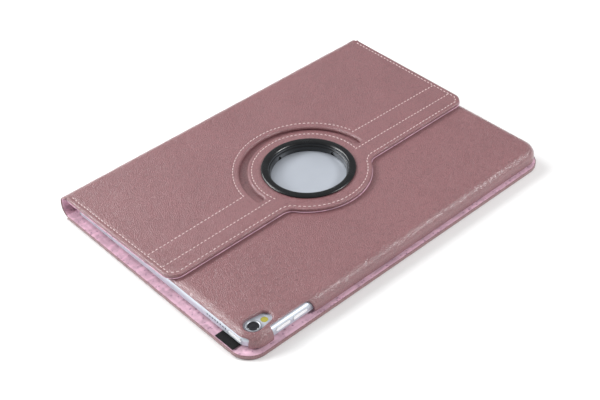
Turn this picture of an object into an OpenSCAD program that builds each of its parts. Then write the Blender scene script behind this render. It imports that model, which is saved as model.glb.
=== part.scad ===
// Tablet computer in a folio case with a swivelling back: a face-down tablet in a tray, closed.
// X runs along the tablet's long side and Y towards the spine. The origin is on the table under
// the swivel's axis.

/* [Tablet] */
// Length of the tablet
tab_l = 250.6; // [230:0.1:310]
// Width of the tablet
tab_w = 174.1; // [140:0.1:220]
// Thickness of the tablet
tab_t = 6.1; // [5.8:0.1:8]
// Radius of the tablet's corners in plan
tab_r = 10; // [8:0.5:14]
// Radius of the housing's rolled back edge
tab_edge = 3; // [2:0.1:3.5]
// Wall of the rear housing
tab_wall = 0.9; // [0.7:0.1:1.2]
// Thickness of the cover glass
glass_t = 0.7; // [0.5:0.1:0.9]
// Thickness of the display panel
panel_t = 1.3; // [1:0.1:1.5]
// Thickness of the steel plate behind the panel
plate_t = 0.3; // [0.2:0.05:0.4]
// Dark border of the display
bezel = 8; // [6:0.5:12]
// Border at the two ends of the display
end_bezel = 19; // [17:0.5:24]

/* [Buttons] */
// Length of a side button
button_l = 10.6; // [8:0.1:12]
// Width of a side button
button_w = 2.2; // [1.8:0.1:2.4]
// How far a side button stands out
button_proud = 0.35; // [0.2:0.05:0.5]
// Travel of every button
button_travel = 0.3; // [0.2:0.05:0.4]
// Clearance around a button
button_gap = 0.15; // [0.1:0.05:0.25]
// Distance of the power button's middle from the long edge
power_from_edge = 12.6; // [12:0.1:20]
// Distance of the upper volume button's middle from the short edge
volume_from_edge = 25; // [22:0.1:35]
// Pitch of the two volume buttons
volume_pitch = 13; // [12.5:0.1:16]
// Radius of the home button
home_r = 6.6; // [5.5:0.1:7]

/* [Openings of the tablet] */
// Radius of the headphone socket's bore
jack_r = 1.75; // [1.75:0.01:1.8]
// Depth of the headphone socket
jack_depth = 14; // [14:0.5:16]
// Distance of the headphone socket from the long edge
jack_from_edge = 8; // [7:0.1:12]
// Width of the charging socket
port_w = 8.3; // [8:0.1:9]
// Height of the charging socket
port_h = 2.6; // [2.4:0.1:2.8]
// Radius of a speaker hole
speaker_hole_r = 0.75; // [0.5:0.05:0.9]
// Pitch of the speaker holes
speaker_pitch = 2.35; // [2:0.05:2.6]
// Number of holes at one speaker
speaker_holes = 8; // [5:1:9]
// Distance of each speaker's middle from the long edge
speaker_from_edge = 29; // [24:0.5:34]
// Distance of the camera from the short edge
camera_from_end = 10.5; // [10:0.1:13]
// Distance of the camera from the long edge
camera_from_edge = 8.7; // [8.5:0.1:12]
// Radius of the camera's trim ring
camera_r = 4.7; // [4:0.1:5]
// How far the camera's ring stands out
camera_proud = 0.9; // [0.5:0.1:1]
// Distance from the camera to the flash
flash_pitch = 8.2; // [7.5:0.1:9]

/* [Skins] */
// Thickness of the outer leather
leather_t = 0.8; // [0.6:0.1:1]
// Thickness of the microfibre lining in the front cover
lining_t = 0.7; // [0.5:0.1:0.9]
// Thickness of the thin microfibre in the tray and the flap
felt_t = 0.4; // [0.3:0.05:0.5]
// Thickness of the stiffening board in the front cover
cover_board_t = 1.5; // [1.2:0.1:2]
// Thickness of the stiffening boards in the back flap
flap_board_t = 1.4; // [1.2:0.1:2]

/* [Tray] */
// Wall of the moulded tray
shell_t = 1.2; // [1:0.1:1.5]
// Clearance between the tablet and the tray
fit_gap = 0.2; // [0.15:0.05:0.3]
// Thickness of the lip that holds the tablet in
lip_t = 0.9; // [0.7:0.1:1.2]
// How far the lip reaches over the display
lip_reach = 1.4; // [1:0.1:2]
// Radius of the tray's rounded top edge
tray_edge = 6; // [5:0.1:6.5]
// Length of each corner wrap along the short side
wrap_short = 5; // [4:0.5:8]
// Height of the leather that folds down over the open short sides
short_fold = 2.6; // [2:0.1:4]
// Radius of the camera's cut-out
cutout_r = 6.2; // [5.9:0.1:6.4]
// Spare length of the volume buttons' cut-out at each end
volume_spare = 3.2; // [2.5:0.1:5]

/* [Front cover] */
// How far the front cover reaches past the tray along X
cover_over_x = 1.7; // [1:0.1:4]
// How far the front cover reaches past the tray at its free edge
cover_over_y = 2.3; // [1.5:0.1:4]
// How far the front cover sits off centre, from the play in the soft spine
cover_slack = -2.1; // [-2.5:0.1:0]
// Radius of the front cover's free corners
cover_r = 14; // [10:0.5:16]
// Width of the elastic strap
strap_w = 15.5; // [12:0.5:20]
// Thickness of the elastic strap
strap_t = 0.8; // [0.6:0.1:1]
// Distance of the strap's middle from the cover's free edge
strap_from_edge = 21.5; // [18:0.5:30]
// Clearance between the strap and the tray
strap_gap = 0.3; // [0.3:0.05:0.5]

/* [Spine] */
// Clearance between the tray and the inside of the spine
spine_gap = 2.4; // [2:0.1:4]
// Radius of the spine's two folds
spine_round = 6.5; // [5.5:0.1:7]
// How far the spine sits off centre, from its play
spine_slack = -1.1; // [-1.5:0.1:0]

/* [Back flap] */
// How far the flap reaches past the tray along X at its free edge
flap_over = 0.2; // [0:0.1:1]
// How much wider the flap is at the spine, on each side
flap_flare = 1.4; // [0:0.1:2]
// Distance of the flap's free edge from the swivel's axis
flap_free = 20.4; // [18:0.1:26]
// Radius of the flap's free corners
flap_r = 9; // [6:0.5:12]
// Distance of the hinge band's spine side from the swivel's axis
band_back = 6.6; // [5:0.1:9]
// Distance of the hinge band's free side from the swivel's axis
band_front = 8.4; // [7:0.1:10]

/* [Swivel] */
// Radius of the window in the swivel
window_r = 24.4; // [20:0.1:26]
// How much wider the window is at its top
window_flare = 1.1; // [0.5:0.1:1.5]
// Wall of the ring's liner under its flare
liner_t = 0.8; // [0.6:0.1:1]
// Wall of the hub's sleeve
hub_wall = 2.3; // [2:0.1:2.6]
// Wall of the bush in the flap
bush_wall = 0.9; // [0.7:0.1:1.2]
// How far the ring's flange overlaps the leather
ring_over = 0.9; // [0.5:0.1:1.5]
// Thickness of the ring's flange
ring_t = 1; // [0.8:0.1:1.2]
// Clearance between the pieces that turn on each other
turn_gap = 0.3; // [0.3:0.05:0.4]
// Clearance between pieces that are pushed together
seat_gap = 0.05; // [0.03:0.01:0.1]
// Width of the hub's foot and of the washer
washer_w = 4; // [3:0.1:5]
// Width of the leather between the swivel's ring and the slot
disc_w = 9; // [8:0.1:11]
// Width of the curved slot
slot_w = 5; // [3:0.1:6]
// How much further the disc bulges past the slot's inner edge at the flap's free side
bulge_more = 1.5; // [0:0.1:3]
// Radius of the hollows beside the bulge
bulge_fillet = 9; // [6:0.5:12]
// Number of the hub's screws
hub_screws = 6; // [4:1:8]
// Radius of a hub screw
screw_r = 0.7; // [0.6:0.05:0.8]

/* [Hidden] */
$fn = 96;
// Overshoot of a cutter past a face: a tiny one, and one where nothing is near
eps = 0.01;
past = 1;
// Steps of an arc in the outlines of the flap and its slot
arc_steps = 32;
// Levels, from the table up
z_cover_lining = leather_t + cover_board_t;
z_cover_top = z_cover_lining + lining_t;
z_strap_top = z_cover_top + strap_t;
z_lip = z_strap_top + strap_gap;
z_face = z_lip + lip_t;
z_glass_top = z_face + glass_t;
z_panel_top = z_glass_top + panel_t;
z_plate_top = z_panel_top + plate_t;
z_back = z_face + tab_t;
z_inner_back = z_back - tab_wall;
z_shell = z_back + felt_t;
z_shell_top = z_shell + shell_t;
z_tray_top = z_shell_top + leather_t;
z_flap = z_tray_top + turn_gap;
z_flap_board = z_flap + felt_t;
z_flap_leather = z_flap_board + flap_board_t;
z_flap_top = z_flap_leather + leather_t;
z_ring = z_flap_top + turn_gap;
z_ring_top = z_ring + ring_t;
z_port = z_face + tab_t / 2;
// Half sizes in plan
tab_hx = tab_l / 2;
tab_hy = tab_w / 2;
cavity_hx = tab_hx - tab_wall;
cavity_hy = tab_hy - tab_wall;
shell_hx = tab_hx + fit_gap + shell_t;
shell_hy = tab_hy + fit_gap + shell_t;
tray_hx = shell_hx + leather_t;
tray_hy = shell_hy + leather_t;
tray_r = tab_r + fit_gap + shell_t + leather_t;
// Spine
spine_skin = leather_t + felt_t;
spine_y = tray_hy + spine_gap + spine_skin;
fold_y = spine_y - spine_round;
cover_hx = tray_hx + cover_over_x;
cover_front = tray_hy + cover_over_y;
flap_hx = tray_hx + flap_over;
// Swivel
liner_r = window_r + window_flare + liner_t;
hub_in = liner_r + seat_gap;
hub_r = hub_in + hub_wall;
bush_in = hub_r + turn_gap;
bush_r = bush_in + bush_wall;
ring_r = bush_r + ring_over;
foot_r = hub_r + washer_w;
washer_r = bush_r + washer_w;
disc_r = ring_r + disc_w;
slot_r = disc_r + slot_w;
bulge_r = disc_r + bulge_more;
screw_pcd_r = (hub_in + hub_r) / 2;
screw_head_r = screw_r + 0.5;
screw_head_t = 0.5;
screw_l = z_flap_leather - z_shell;
// How far the curved slot runs past its half circle at each end
slot_past = 3;
// Turned edge of leather round a board
turned = leather_t + seat_gap;
// Camera, flash and buttons in plan
camera_x = -tab_hx + camera_from_end;
camera_y = -tab_hy + camera_from_edge;
flash_x = camera_x + flash_pitch;
power_y = -tab_hy + power_from_edge;
volume_x = [-tab_hx + volume_from_edge, -tab_hx + volume_from_edge + volume_pitch];
home_x = tab_hx - end_bezel / 2;
// Buttons' own sizes
cap_in = 0.7;
flange_t = 0.6;
flange_over = 0.5;
ledge_short = 2.5;
switch_t = 0.8;
switch_gap = 0.1;
flash_r = 2.2;
home_ring_w = 0.8;
home_t = 1.1;
// Sockets and small openings
socket_r = jack_r + 0.3;
socket_in = 1.2;
jack_block_w = 6.4;
jack_block_in = tab_edge + 2;
mic_r = 0.5;
port_wall = 0.3;
port_back = 0.6;
port_depth = 8.6;
contact_r = 1;
contact_in = 0.8;
contact_pitch = 4.5;
// Cameras
camera_rim = 0.6;
camera_block = 4.2;
lens_in = 0.2;
front_camera_r = 2.6;
front_camera_t = 3;
flash_l = 1.8;
// Room between the display's plate and the housing's back
inner_gap = 0.2;
z_in = z_plate_top + inner_gap;
z_out = z_inner_back - inner_gap;
// Battery
cell_n = 3;
cell_end = 30;
cell_gap = 0.5;
cell_hx = cavity_hx - cell_end;
cell_l = 2 * cell_hx / cell_n;
cell_y1 = cavity_hy - bezel;
// Circuit board with its shields, screws and flexible strips
board_w = 20;
board_t = 0.8;
board_y = -cavity_hy + bezel;
board_hx = cell_hx - 8;
cell_y0 = board_y + board_w + 2;
shield_edge = 4;
shield_t = 0.3;
shield_l = board_hx * 0.5;
board_screw_r = 0.8;
board_screw_head_r = 1.5;
board_screw_head_t = 0.6;
board_screw_in = 2.5;
flex_t = 0.2;
flex_l = 16;
flex_reach = 5;
socket_board_l = 28;
socket_board_w = 8;
// Switches
switch_l = 4;
switch_w = 2;
sensor_r = 2.5;
// Speakers, microphone and aerials
speaker_l = 15;
speaker_w = 26;
speaker_below = 0.3;
speaker_above = 0.6;
mic_l = 4;
mic_w = 1.2;
mic_t = 2;
aerial_y = 22;
aerial_l = 14;
aerial_w = 3;
aerial_t = 2.4;
// Magnets: places in pairs near the front cover's free edge and its middle
magnet_l = 24;
magnet_w = 8;
z_magnet = leather_t + 0.4;
magnet_places = [for (x = [-0.55, 0.55], y = [-0.8, 0.1]) [x * cover_hx, y * cover_front]];

// Rounded rectangle in plan
module plan(hx, hy, r) {
    square([2 * (hx - r), 2 * hy], center = true);
    square([2 * hx, 2 * (hy - r)], center = true);
    for (x = [-1, 1], y = [-1, 1])
        translate([x * (hx - r), y * (hy - r)])
            circle(r);
}

// Half profile of a slab's border: square below, with a rounded top edge
module border_profile(r, h, e) {
    square([r - e, h]);
    square([r, h - e]);
    intersection() {
        translate([r - e, h - e])
            circle(e);
        square([r, h]);
    }
}

// Slab with rounded corners in plan and a rounded top edge
module slab(hx, hy, r, h, e) {
    cx = hx - r;
    cy = hy - r;
    translate([-cx, -cy, 0])
        cube([2 * cx, 2 * cy, h]);
    for (k = [0, 1]) {
        rotate([0, 0, 180 * k]) {
            translate([cx, cy, 0])
                rotate([90, 0, 0])
                    linear_extrude(2 * cy)
                        border_profile(r, h, e);
            translate([-cx, cy, 0])
                rotate([90, 0, 90])
                    linear_extrude(2 * cx)
                        border_profile(r, h, e);
            translate([cx, cy, 0])
                rotate_extrude(angle = 90)
                    border_profile(r, h, e);
            translate([-cx, cy, 0])
                rotate([0, 0, 90])
                    rotate_extrude(angle = 90)
                        border_profile(r, h, e);
        }
    }
}

// Bar with round ends: l long along X, w wide along Y, t thick along Z
module pill(l, w, t) {
    translate([-(l - w) / 2, -w / 2, 0])
        cube([l - w, w, t]);
    for (s = [-1, 1])
        translate([s * (l - w) / 2, 0, 0])
            cylinder(h = t, d = w);
}

// Round tube
module tube(r_out, r_in, z0, z1) {
    translate([0, 0, z0])
        difference() {
            cylinder(h = z1 - z0, r = r_out);
            translate([0, 0, -eps])
                cylinder(h = z1 - z0 + 2 * eps, r = r_in);
        }
}

// Box between two corners
module block(low, high) {
    translate(low)
        cube(high - low);
}

// ---- Front cover ----

// Outline of the front cover, drawn in by i
module cover_plan(i) {
    r = cover_r - i;
    hx = cover_hx - i;
    translate([cover_slack, 0]) {
        translate([-hx, -cover_front + i + r])
            square([2 * hx, cover_front + fold_y - i - r]);
        translate([-hx + r, -cover_front + i])
            square([2 * (hx - r), r + eps]);
        for (s = [-1, 1])
            translate([s * (hx - r), -cover_front + i + r])
                circle(r);
    }
}

module front_cover_leather() {
    color([0.64, 0.46, 0.48])
        difference() {
            linear_extrude(z_cover_top)
                cover_plan(0);
            translate([0, 0, leather_t])
                linear_extrude(z_cover_top)
                    cover_plan(turned - seat_gap);
        }
}

module front_cover_board() {
    color([0.55, 0.5, 0.42])
        difference() {
            translate([0, 0, leather_t])
                linear_extrude(cover_board_t)
                    cover_plan(turned);
            for (p = magnet_places)
                block([p.x - magnet_l / 2, p.y - magnet_w / 2, z_magnet],
                      [p.x + magnet_l / 2, p.y + magnet_w / 2, z_cover_lining + eps]);
        }
}

module front_cover_lining() {
    color([0.89, 0.73, 0.82])
        translate([0, 0, z_cover_lining])
            linear_extrude(lining_t)
                cover_plan(turned);
}

module cover_magnets() {
    color([0.6, 0.6, 0.62])
        for (p = magnet_places)
            block([p.x - magnet_l / 2 + seat_gap, p.y - magnet_w / 2 + seat_gap, z_magnet],
                  [p.x + magnet_l / 2 - seat_gap, p.y + magnet_w / 2 - seat_gap, z_cover_lining]);
}

module elastic_strap() {
    y = -cover_front + strap_from_edge;
    color([0.13, 0.12, 0.14])
        block([cover_slack - cover_hx + turned, y - strap_w / 2, z_cover_top],
              [cover_slack + cover_hx - turned, y + strap_w / 2, z_strap_top]);
}

// ---- Spine ----

// C-shaped layer of the spine, from inset i to inset i + t
module spine_layer(i, t) {
    hx = tray_hx + flap_over + flap_flare;
    translate([spine_slack - hx, 0, 0])
        rotate([90, 0, 90])
            linear_extrude(2 * hx)
                difference() {
                    spine_section(i);
                    spine_section(i + t);
                }
}

// Rounded section of the spine drawn in by i, cut off at the folds
module spine_section(i) {
    r = spine_round - i;
    translate([fold_y, spine_round])
        square([r, z_flap_top - 2 * spine_round]);
    for (z = [spine_round, z_flap_top - spine_round])
        intersection() {
            translate([fold_y, z])
                circle(r);
            translate([fold_y, z - r])
                square([r, 2 * r]);
        }
}

module spine_leather() {
    color([0.64, 0.46, 0.48])
        spine_layer(0, leather_t);
}

module spine_lining() {
    color([0.89, 0.73, 0.82])
        spine_layer(leather_t, felt_t);
}

// ---- Back flap ----

// Points along an arc, without its two ends
function arc(middle, r, a0, a1) =
    [
        for (k = [0 : arc_steps - 1])
            let (a = a0 + (a1 - a0) * (k + 0.5) / arc_steps)
                middle + r * [cos(a), sin(a)]
    ];

// Outline of the flap drawn in by i: wider at the spine, with round corners at its free edge and
// the disc's bulge between two hollows
function flap_outline(i) =
    let (
        hf = flap_hx - i,
        hs = flap_hx + flap_flare - i,
        r = flap_r - i,
        y0 = -flap_free + i,
        rb = bulge_r - i,
        f = bulge_fillet + i,
        fy = y0 - f,
        fx = sqrt((rb + f) * (rb + f) - fy * fy),
        b = atan2(-fy, fx)
    )
    concat(
        arc([-hf + r, y0 + r], r, 180, 270),
        arc([-fx, fy], f, 90, b),
        arc([0, 0], rb, 180 + b, 360 - b),
        arc([fx, fy], f, 180 - b, 90),
        arc([hf - r, y0 + r], r, 270, 360),
        [[hs, fold_y], [-hs, fold_y]]
    );

// Outline of the curved slot behind the disc, grown by i
function slot_outline(i) =
    let (
        mid = (disc_r + slot_r) / 2,
        cap_r = slot_w / 2 + i,
        a0 = -slot_past,
        a1 = 180 + slot_past
    )
    concat(
        arc([0, 0], slot_r + i, a0, a1),
        arc(mid * [cos(a1), sin(a1)], cap_r, a1, a1 + 180),
        arc([0, 0], disc_r - i, a1, a0),
        arc(mid * [cos(a0), sin(a0)], cap_r, a0 - 180, a0)
    );

// The whole flap drawn in by i
module flap_plan(i) {
    difference() {
        polygon(flap_outline(i));
        polygon(slot_outline(i));
    }
}

// Round hole through the flap
module flap_hole(r) {
    translate([0, 0, -eps])
        cylinder(h = z_ring_top, r = r);
}

module flap_leather() {
    color([0.64, 0.46, 0.48])
        difference() {
            translate([0, 0, z_flap_board])
                linear_extrude(z_flap_top - z_flap_board)
                    flap_plan(0);
            translate([0, 0, z_flap_board - eps])
                linear_extrude(flap_board_t + eps)
                    flap_plan(leather_t);
            flap_hole(bush_r + seat_gap);
        }
}

// Outline of the boards' room between two places along Y
module board_plan(y0, y1) {
    intersection() {
        flap_plan(turned);
        translate([-tab_l, y0])
            square([2 * tab_l, y1 - y0]);
    }
}

// Layer of the boards' thickness
module board_layer() {
    translate([0, 0, z_flap_board])
        linear_extrude(flap_board_t)
            children();
}

module flap_spine_board() {
    color([0.55, 0.5, 0.42])
        board_layer()
            difference() {
                board_plan(band_back, fold_y);
                // The disc has a board of its own
                circle(slot_r + turned);
            }
}

module flap_disc_board() {
    color([0.55, 0.5, 0.42])
        board_layer()
            difference() {
                union() {
                    board_plan(-2 * tab_w, -band_front);
                    circle(disc_r - turned);
                }
                circle(bush_r + seat_gap);
            }
}

// Soft filling of the hinge band, left and right of the disc
module flap_hinge_strip() {
    color([0.8, 0.75, 0.72])
        board_layer()
            difference() {
                board_plan(-band_front + seat_gap, band_back - seat_gap);
                circle(slot_r + turned);
            }
}

module flap_lining() {
    color([0.89, 0.73, 0.82])
        difference() {
            translate([0, 0, z_flap])
                linear_extrude(felt_t)
                    flap_plan(felt_t);
            flap_hole(washer_r + seat_gap);
        }
}

// ---- Swivel ----

module swivel_bush() {
    color([0.1, 0.1, 0.11])
        tube(bush_r, bush_in, z_flap, z_flap_top);
}

module swivel_washer() {
    color([0.9, 0.9, 0.88])
        tube(washer_r, bush_r + seat_gap, z_flap, z_flap_board - seat_gap);
}

// Flange with a bevelled rim on a flared liner
module swivel_ring() {
    bevel = ring_t * 0.7;
    color([0.09, 0.1, 0.11])
        rotate_extrude()
            polygon([
                [window_r, z_shell],
                [liner_r, z_shell],
                [liner_r, z_ring],
                [ring_r, z_ring],
                [ring_r, z_ring_top - bevel],
                [ring_r - bevel, z_ring_top],
                [window_r + window_flare, z_ring_top]
            ]);
}

// Places of the hub's screws
module at_screws() {
    for (k = [0 : hub_screws - 1])
        rotate([0, 0, 360 * (k + 0.5) / hub_screws])
            translate([screw_pcd_r, 0, 0])
                children();
}

module swivel_hub() {
    color([0.12, 0.12, 0.13])
        difference() {
            union() {
                tube(hub_r, hub_in, z_shell_top, z_ring);
                tube(foot_r, hub_in, z_shell_top, z_tray_top);
            }
            at_screws()
                translate([0, 0, z_shell_top - eps])
                    cylinder(h = z_shell + screw_l - z_shell_top + 2 * eps, r = screw_r + seat_gap);
        }
}

module swivel_screws() {
    color([0.7, 0.7, 0.72])
        at_screws() {
            translate([0, 0, z_shell])
                cylinder(h = screw_l, r = screw_r);
            translate([0, 0, z_shell])
                cylinder(h = screw_head_t, r = screw_head_r);
        }
}

// ---- Tray ----

// Everything that is cut from the tray's shell and its leather alike
module tray_openings() {
    fold_z = z_tray_top - short_fold;
    open_y = tray_hy - wrap_short;
    // The two short sides, open below a fold of leather
    for (s = [-1, 1])
        block([s > 0 ? tab_hx - 2 * lip_reach : -2 * tray_hx, -open_y, 0],
              [s > 0 ? 2 * tray_hx : -tab_hx + 2 * lip_reach, open_y, fold_z]);
    // Camera and flash
    translate([camera_x + flash_pitch / 2, camera_y, z_back - tab_t / 4])
        pill(flash_pitch + 2 * cutout_r, 2 * cutout_r, z_ring_top);
    // Volume buttons, with one slanting end
    x0 = volume_x[0] - button_l / 2 - volume_spare;
    x1 = volume_x[1] + button_l / 2 + volume_spare;
    translate([0, -tab_hy + tab_edge / 2, 0])
        rotate([90, 0, 0])
            linear_extrude(tray_edge * 2)
                polygon([[x0, -past], [x1 + tray_edge / 2, -past], [x1, z_ring_top], [x0, z_ring_top]]);
}

// Room for the tablet
module pocket() {
    translate([0, 0, z_face - seat_gap])
        slab(tab_hx + fit_gap, tab_hy + fit_gap, tab_r + fit_gap,
             z_shell - z_face + seat_gap, tab_edge + fit_gap);
    // The display's opening in the lip
    translate([0, 0, z_lip - past])
        linear_extrude(lip_t + past)
            plan(tab_hx - lip_reach, tab_hy - lip_reach, tab_r - lip_reach);
}

module shell_body() {
    translate([0, 0, z_lip])
        slab(shell_hx, shell_hy, tray_r - leather_t, z_shell_top - z_lip, tray_edge - leather_t);
}

module tray_shell() {
    color([0.2, 0.17, 0.18])
        difference() {
            shell_body();
            pocket();
            tray_openings();
            translate([0, 0, z_shell - past])
                cylinder(h = shell_t + 2 * past, r = liner_r + seat_gap);
            at_screws() {
                translate([0, 0, z_shell - past])
                    cylinder(h = shell_t + 2 * past, r = screw_r + seat_gap);
                translate([0, 0, z_shell - past])
                    cylinder(h = past + screw_head_t + seat_gap, r = screw_head_r + seat_gap);
            }
        }
}

module tray_leather() {
    color([0.64, 0.46, 0.48])
        difference() {
            translate([0, 0, z_lip])
                slab(tray_hx, tray_hy, tray_r, z_tray_top - z_lip, tray_edge);
            translate([0, 0, z_lip - eps])
                slab(shell_hx, shell_hy, tray_r - leather_t,
                     z_shell_top - z_lip + eps, tray_edge - leather_t);
            tray_openings();
            translate([0, 0, z_shell_top - past])
                cylinder(h = leather_t + 2 * past, r = foot_r + seat_gap);
        }
}

module tray_lining() {
    inset = tab_edge + 1;
    color([0.89, 0.73, 0.82])
        difference() {
            translate([0, 0, z_back])
                linear_extrude(felt_t)
                    plan(tab_hx - inset, tab_hy - inset, tab_r - inset);
            tray_openings();
            translate([0, 0, z_back - past])
                cylinder(h = felt_t + 2 * past, r = screw_pcd_r + screw_head_r + seat_gap);
        }
}

// ---- Tablet: housing and display ----

// Turns a shape whose Z is outwards onto the short side, s = -1 or 1, at y
module on_end(s, y, z) {
    translate([s * tab_hx, y, z])
        rotate([90, 0, s * 90])
            children();
}

// The same on the long side at the volume buttons, at x
module on_side(x, z) {
    translate([x, -tab_hy, z])
        rotate([90, 0, 0])
            children();
}

// Slot for a side button through the wall; Z is outwards
module button_slot() {
    translate([0, 0, -2 * tab_wall])
        pill(button_l + 2 * button_gap, button_w + 2 * button_gap, 3 * tab_wall);
}

module speaker_row() {
    for (k = [0 : speaker_holes - 1])
        translate([(k - (speaker_holes - 1) / 2) * speaker_pitch, 0, -2 * tab_wall])
            cylinder(h = 3 * tab_wall, r = speaker_hole_r, $fn = 24);
}

module rear_housing() {
    speaker_y = tab_hy - speaker_from_edge;
    color([0.8, 0.81, 0.83])
        difference() {
            translate([0, 0, z_face])
                slab(tab_hx, tab_hy, tab_r, tab_t, tab_edge);
            translate([0, 0, z_face - past])
                slab(cavity_hx, cavity_hy, tab_r - tab_wall, past + tab_t - tab_wall,
                     tab_edge - tab_wall);
            for (s = [-1, 1], y = [-speaker_y, speaker_y])
                on_end(s, y, z_port)
                    speaker_row();
            on_end(-1, tab_hy - jack_from_edge, z_port)
                translate([0, 0, -jack_block_in])
                    cylinder(h = jack_block_in + tab_wall, r = socket_r + seat_gap);
            on_end(-1, 0, z_port)
                translate([0, 0, -2 * tab_wall])
                    cylinder(h = 3 * tab_wall, r = mic_r, $fn = 24);
            on_end(1, 0, z_port)
                translate([0, 0, -2 * tab_wall])
                    pill(port_w + 2 * port_wall + 2 * seat_gap, port_h + 2 * port_wall + 2 * seat_gap,
                         3 * tab_wall);
            on_end(-1, power_y, z_port)
                button_slot();
            for (x = volume_x)
                on_side(x, z_port)
                    button_slot();
            for (k = [-1 : 1])
                translate([k * contact_pitch, tab_hy - 2 * tab_wall, z_port])
                    rotate([-90, 0, 0])
                        cylinder(h = 3 * tab_wall, r = contact_r + seat_gap, $fn = 32);
            translate([camera_x, camera_y, z_inner_back - past])
                cylinder(h = tab_wall + 2 * past, r = camera_r - camera_rim + seat_gap);
            translate([flash_x, camera_y, z_inner_back - past])
                cylinder(h = tab_wall + 2 * past, r = flash_r + seat_gap);
        }
}

module display_glass() {
    color([0.04, 0.04, 0.05])
        difference() {
            translate([0, 0, z_face])
                linear_extrude(glass_t)
                    plan(cavity_hx - seat_gap, cavity_hy - seat_gap, tab_r - tab_wall - seat_gap);
            translate([home_x, 0, z_face - past])
                cylinder(h = glass_t + 2 * past, r = home_r + button_gap + home_ring_w + seat_gap);
        }
}

module display_panel() {
    color([0.1, 0.1, 0.12])
        block([-cavity_hx + end_bezel, -cavity_hy + bezel, z_glass_top],
              [cavity_hx - end_bezel, cavity_hy - bezel, z_panel_top]);
}

module display_plate() {
    color([0.7, 0.71, 0.72])
        block([-cavity_hx + end_bezel, -cavity_hy + bezel, z_panel_top],
              [cavity_hx - end_bezel, cavity_hy - bezel, z_plate_top]);
}

// ---- Tablet: inside ----

module battery_cells() {
    color([0.16, 0.16, 0.17])
        for (k = [0 : cell_n - 1])
            block([-cell_hx + k * cell_l + cell_gap, cell_y0 + cell_gap, z_in + felt_t],
                  [-cell_hx + (k + 1) * cell_l - cell_gap, cell_y1 - cell_gap, z_out]);
}

module battery_tray() {
    color([0.5, 0.5, 0.52])
        block([-cell_hx, cell_y0, z_in], [cell_hx, cell_y1, z_in + felt_t]);
}

module logic_board() {
    color([0.08, 0.2, 0.14])
        difference() {
            block([-board_hx, board_y, z_in], [board_hx, board_y + board_w, z_in + board_t]);
            at_board_screws()
                translate([0, 0, z_in - past])
                    cylinder(h = board_t + 2 * past, r = board_screw_r + 2 * seat_gap, $fn = 32);
        }
}

// Places of the screws at the board's corners
module at_board_screws() {
    for (x = [-1, 1], y = [board_screw_in, board_w - board_screw_in])
        translate([x * (board_hx - board_screw_in), board_y + y, 0])
            children();
}

module chip_shields() {
    hx = shield_l / 2;
    hy = board_w / 2 - shield_edge;
    color([0.72, 0.73, 0.75])
        for (s = [-1, 1])
            translate([s * board_hx / 2, board_y + board_w / 2, 0])
                difference() {
                    block([-hx, -hy, z_in + board_t], [hx, hy, z_out]);
                    block([-hx + shield_t, -hy + shield_t, z_in + board_t - past],
                          [hx - shield_t, hy - shield_t, z_out - shield_t]);
                }
}

module board_screws() {
    color([0.75, 0.75, 0.76])
        at_board_screws() {
            translate([0, 0, z_in])
                cylinder(h = board_t, r = board_screw_r, $fn = 32);
            translate([0, 0, z_in + board_t])
                cylinder(h = board_screw_head_t, r = board_screw_head_r, $fn = 32);
        }
}

// Small board that carries the charging socket
module socket_board() {
    color([0.08, 0.2, 0.14])
        block([tab_hx - port_depth - inner_gap - socket_board_w, -socket_board_l / 2, z_in],
              [tab_hx - port_depth - inner_gap, socket_board_l / 2, z_in + board_t]);
}

module rear_camera_module() {
    color([0.15, 0.15, 0.16])
        translate([camera_x, camera_y, 0])
            block([-camera_block, -camera_block, z_glass_top + inner_gap],
                  [camera_block, camera_block, z_inner_back - seat_gap]);
}

module rear_camera_ring() {
    color([0.86, 0.87, 0.88])
        translate([camera_x, camera_y, 0])
            difference() {
                union() {
                    translate([0, 0, z_back])
                        cylinder(h = camera_proud, r = camera_r);
                    translate([0, 0, z_inner_back])
                        cylinder(h = tab_wall, r = camera_r - camera_rim);
                }
                translate([0, 0, z_inner_back - past])
                    cylinder(h = tab_wall + camera_proud + 2 * past, r = camera_r - 2 * camera_rim);
            }
}

module rear_camera_lens() {
    color([0.05, 0.05, 0.07])
        translate([camera_x, camera_y, z_inner_back])
            cylinder(h = tab_wall + camera_proud - lens_in, r = camera_r - 2 * camera_rim - seat_gap);
}

module flash_lens() {
    color([0.93, 0.86, 0.45])
        translate([flash_x, camera_y, z_back - flash_l])
            cylinder(h = flash_l - lens_in / 2, r = flash_r);
}

module front_camera() {
    color([0.1, 0.1, 0.12])
        translate([-cavity_hx + end_bezel / 2, 0, z_glass_top])
            cylinder(h = front_camera_t, r = front_camera_r);
}

module speakers() {
    speaker_y = tab_hy - speaker_from_edge;
    color([0.13, 0.13, 0.14])
        for (s = [-1, 1], y = [-speaker_y, speaker_y])
            translate([s * (cavity_hx - inner_gap - tab_edge / 2 - speaker_l / 2), y, 0])
                block([-speaker_l / 2, -speaker_w / 2, z_glass_top + speaker_below],
                      [speaker_l / 2, speaker_w / 2, z_inner_back - speaker_above]);
}

module headphone_socket() {
    color([0.85, 0.85, 0.85])
        on_end(-1, tab_hy - jack_from_edge, z_port)
            difference() {
                union() {
                    translate([0, 0, -jack_depth])
                        cylinder(h = jack_depth - socket_in, r = socket_r);
                    block([-jack_block_w / 2, -socket_r, -jack_depth - past],
                          [jack_block_w / 2, socket_r, -jack_block_in]);
                }
                translate([0, 0, -jack_depth])
                    cylinder(h = jack_depth, r = jack_r);
            }
}

module charging_socket() {
    color([0.75, 0.75, 0.77])
        on_end(1, 0, z_port)
            translate([0, 0, -port_depth])
                difference() {
                    pill(port_w + 2 * port_wall, port_h + 2 * port_wall, port_depth);
                    translate([0, 0, port_back])
                        pill(port_w, port_h, port_depth);
                }
}

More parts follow.
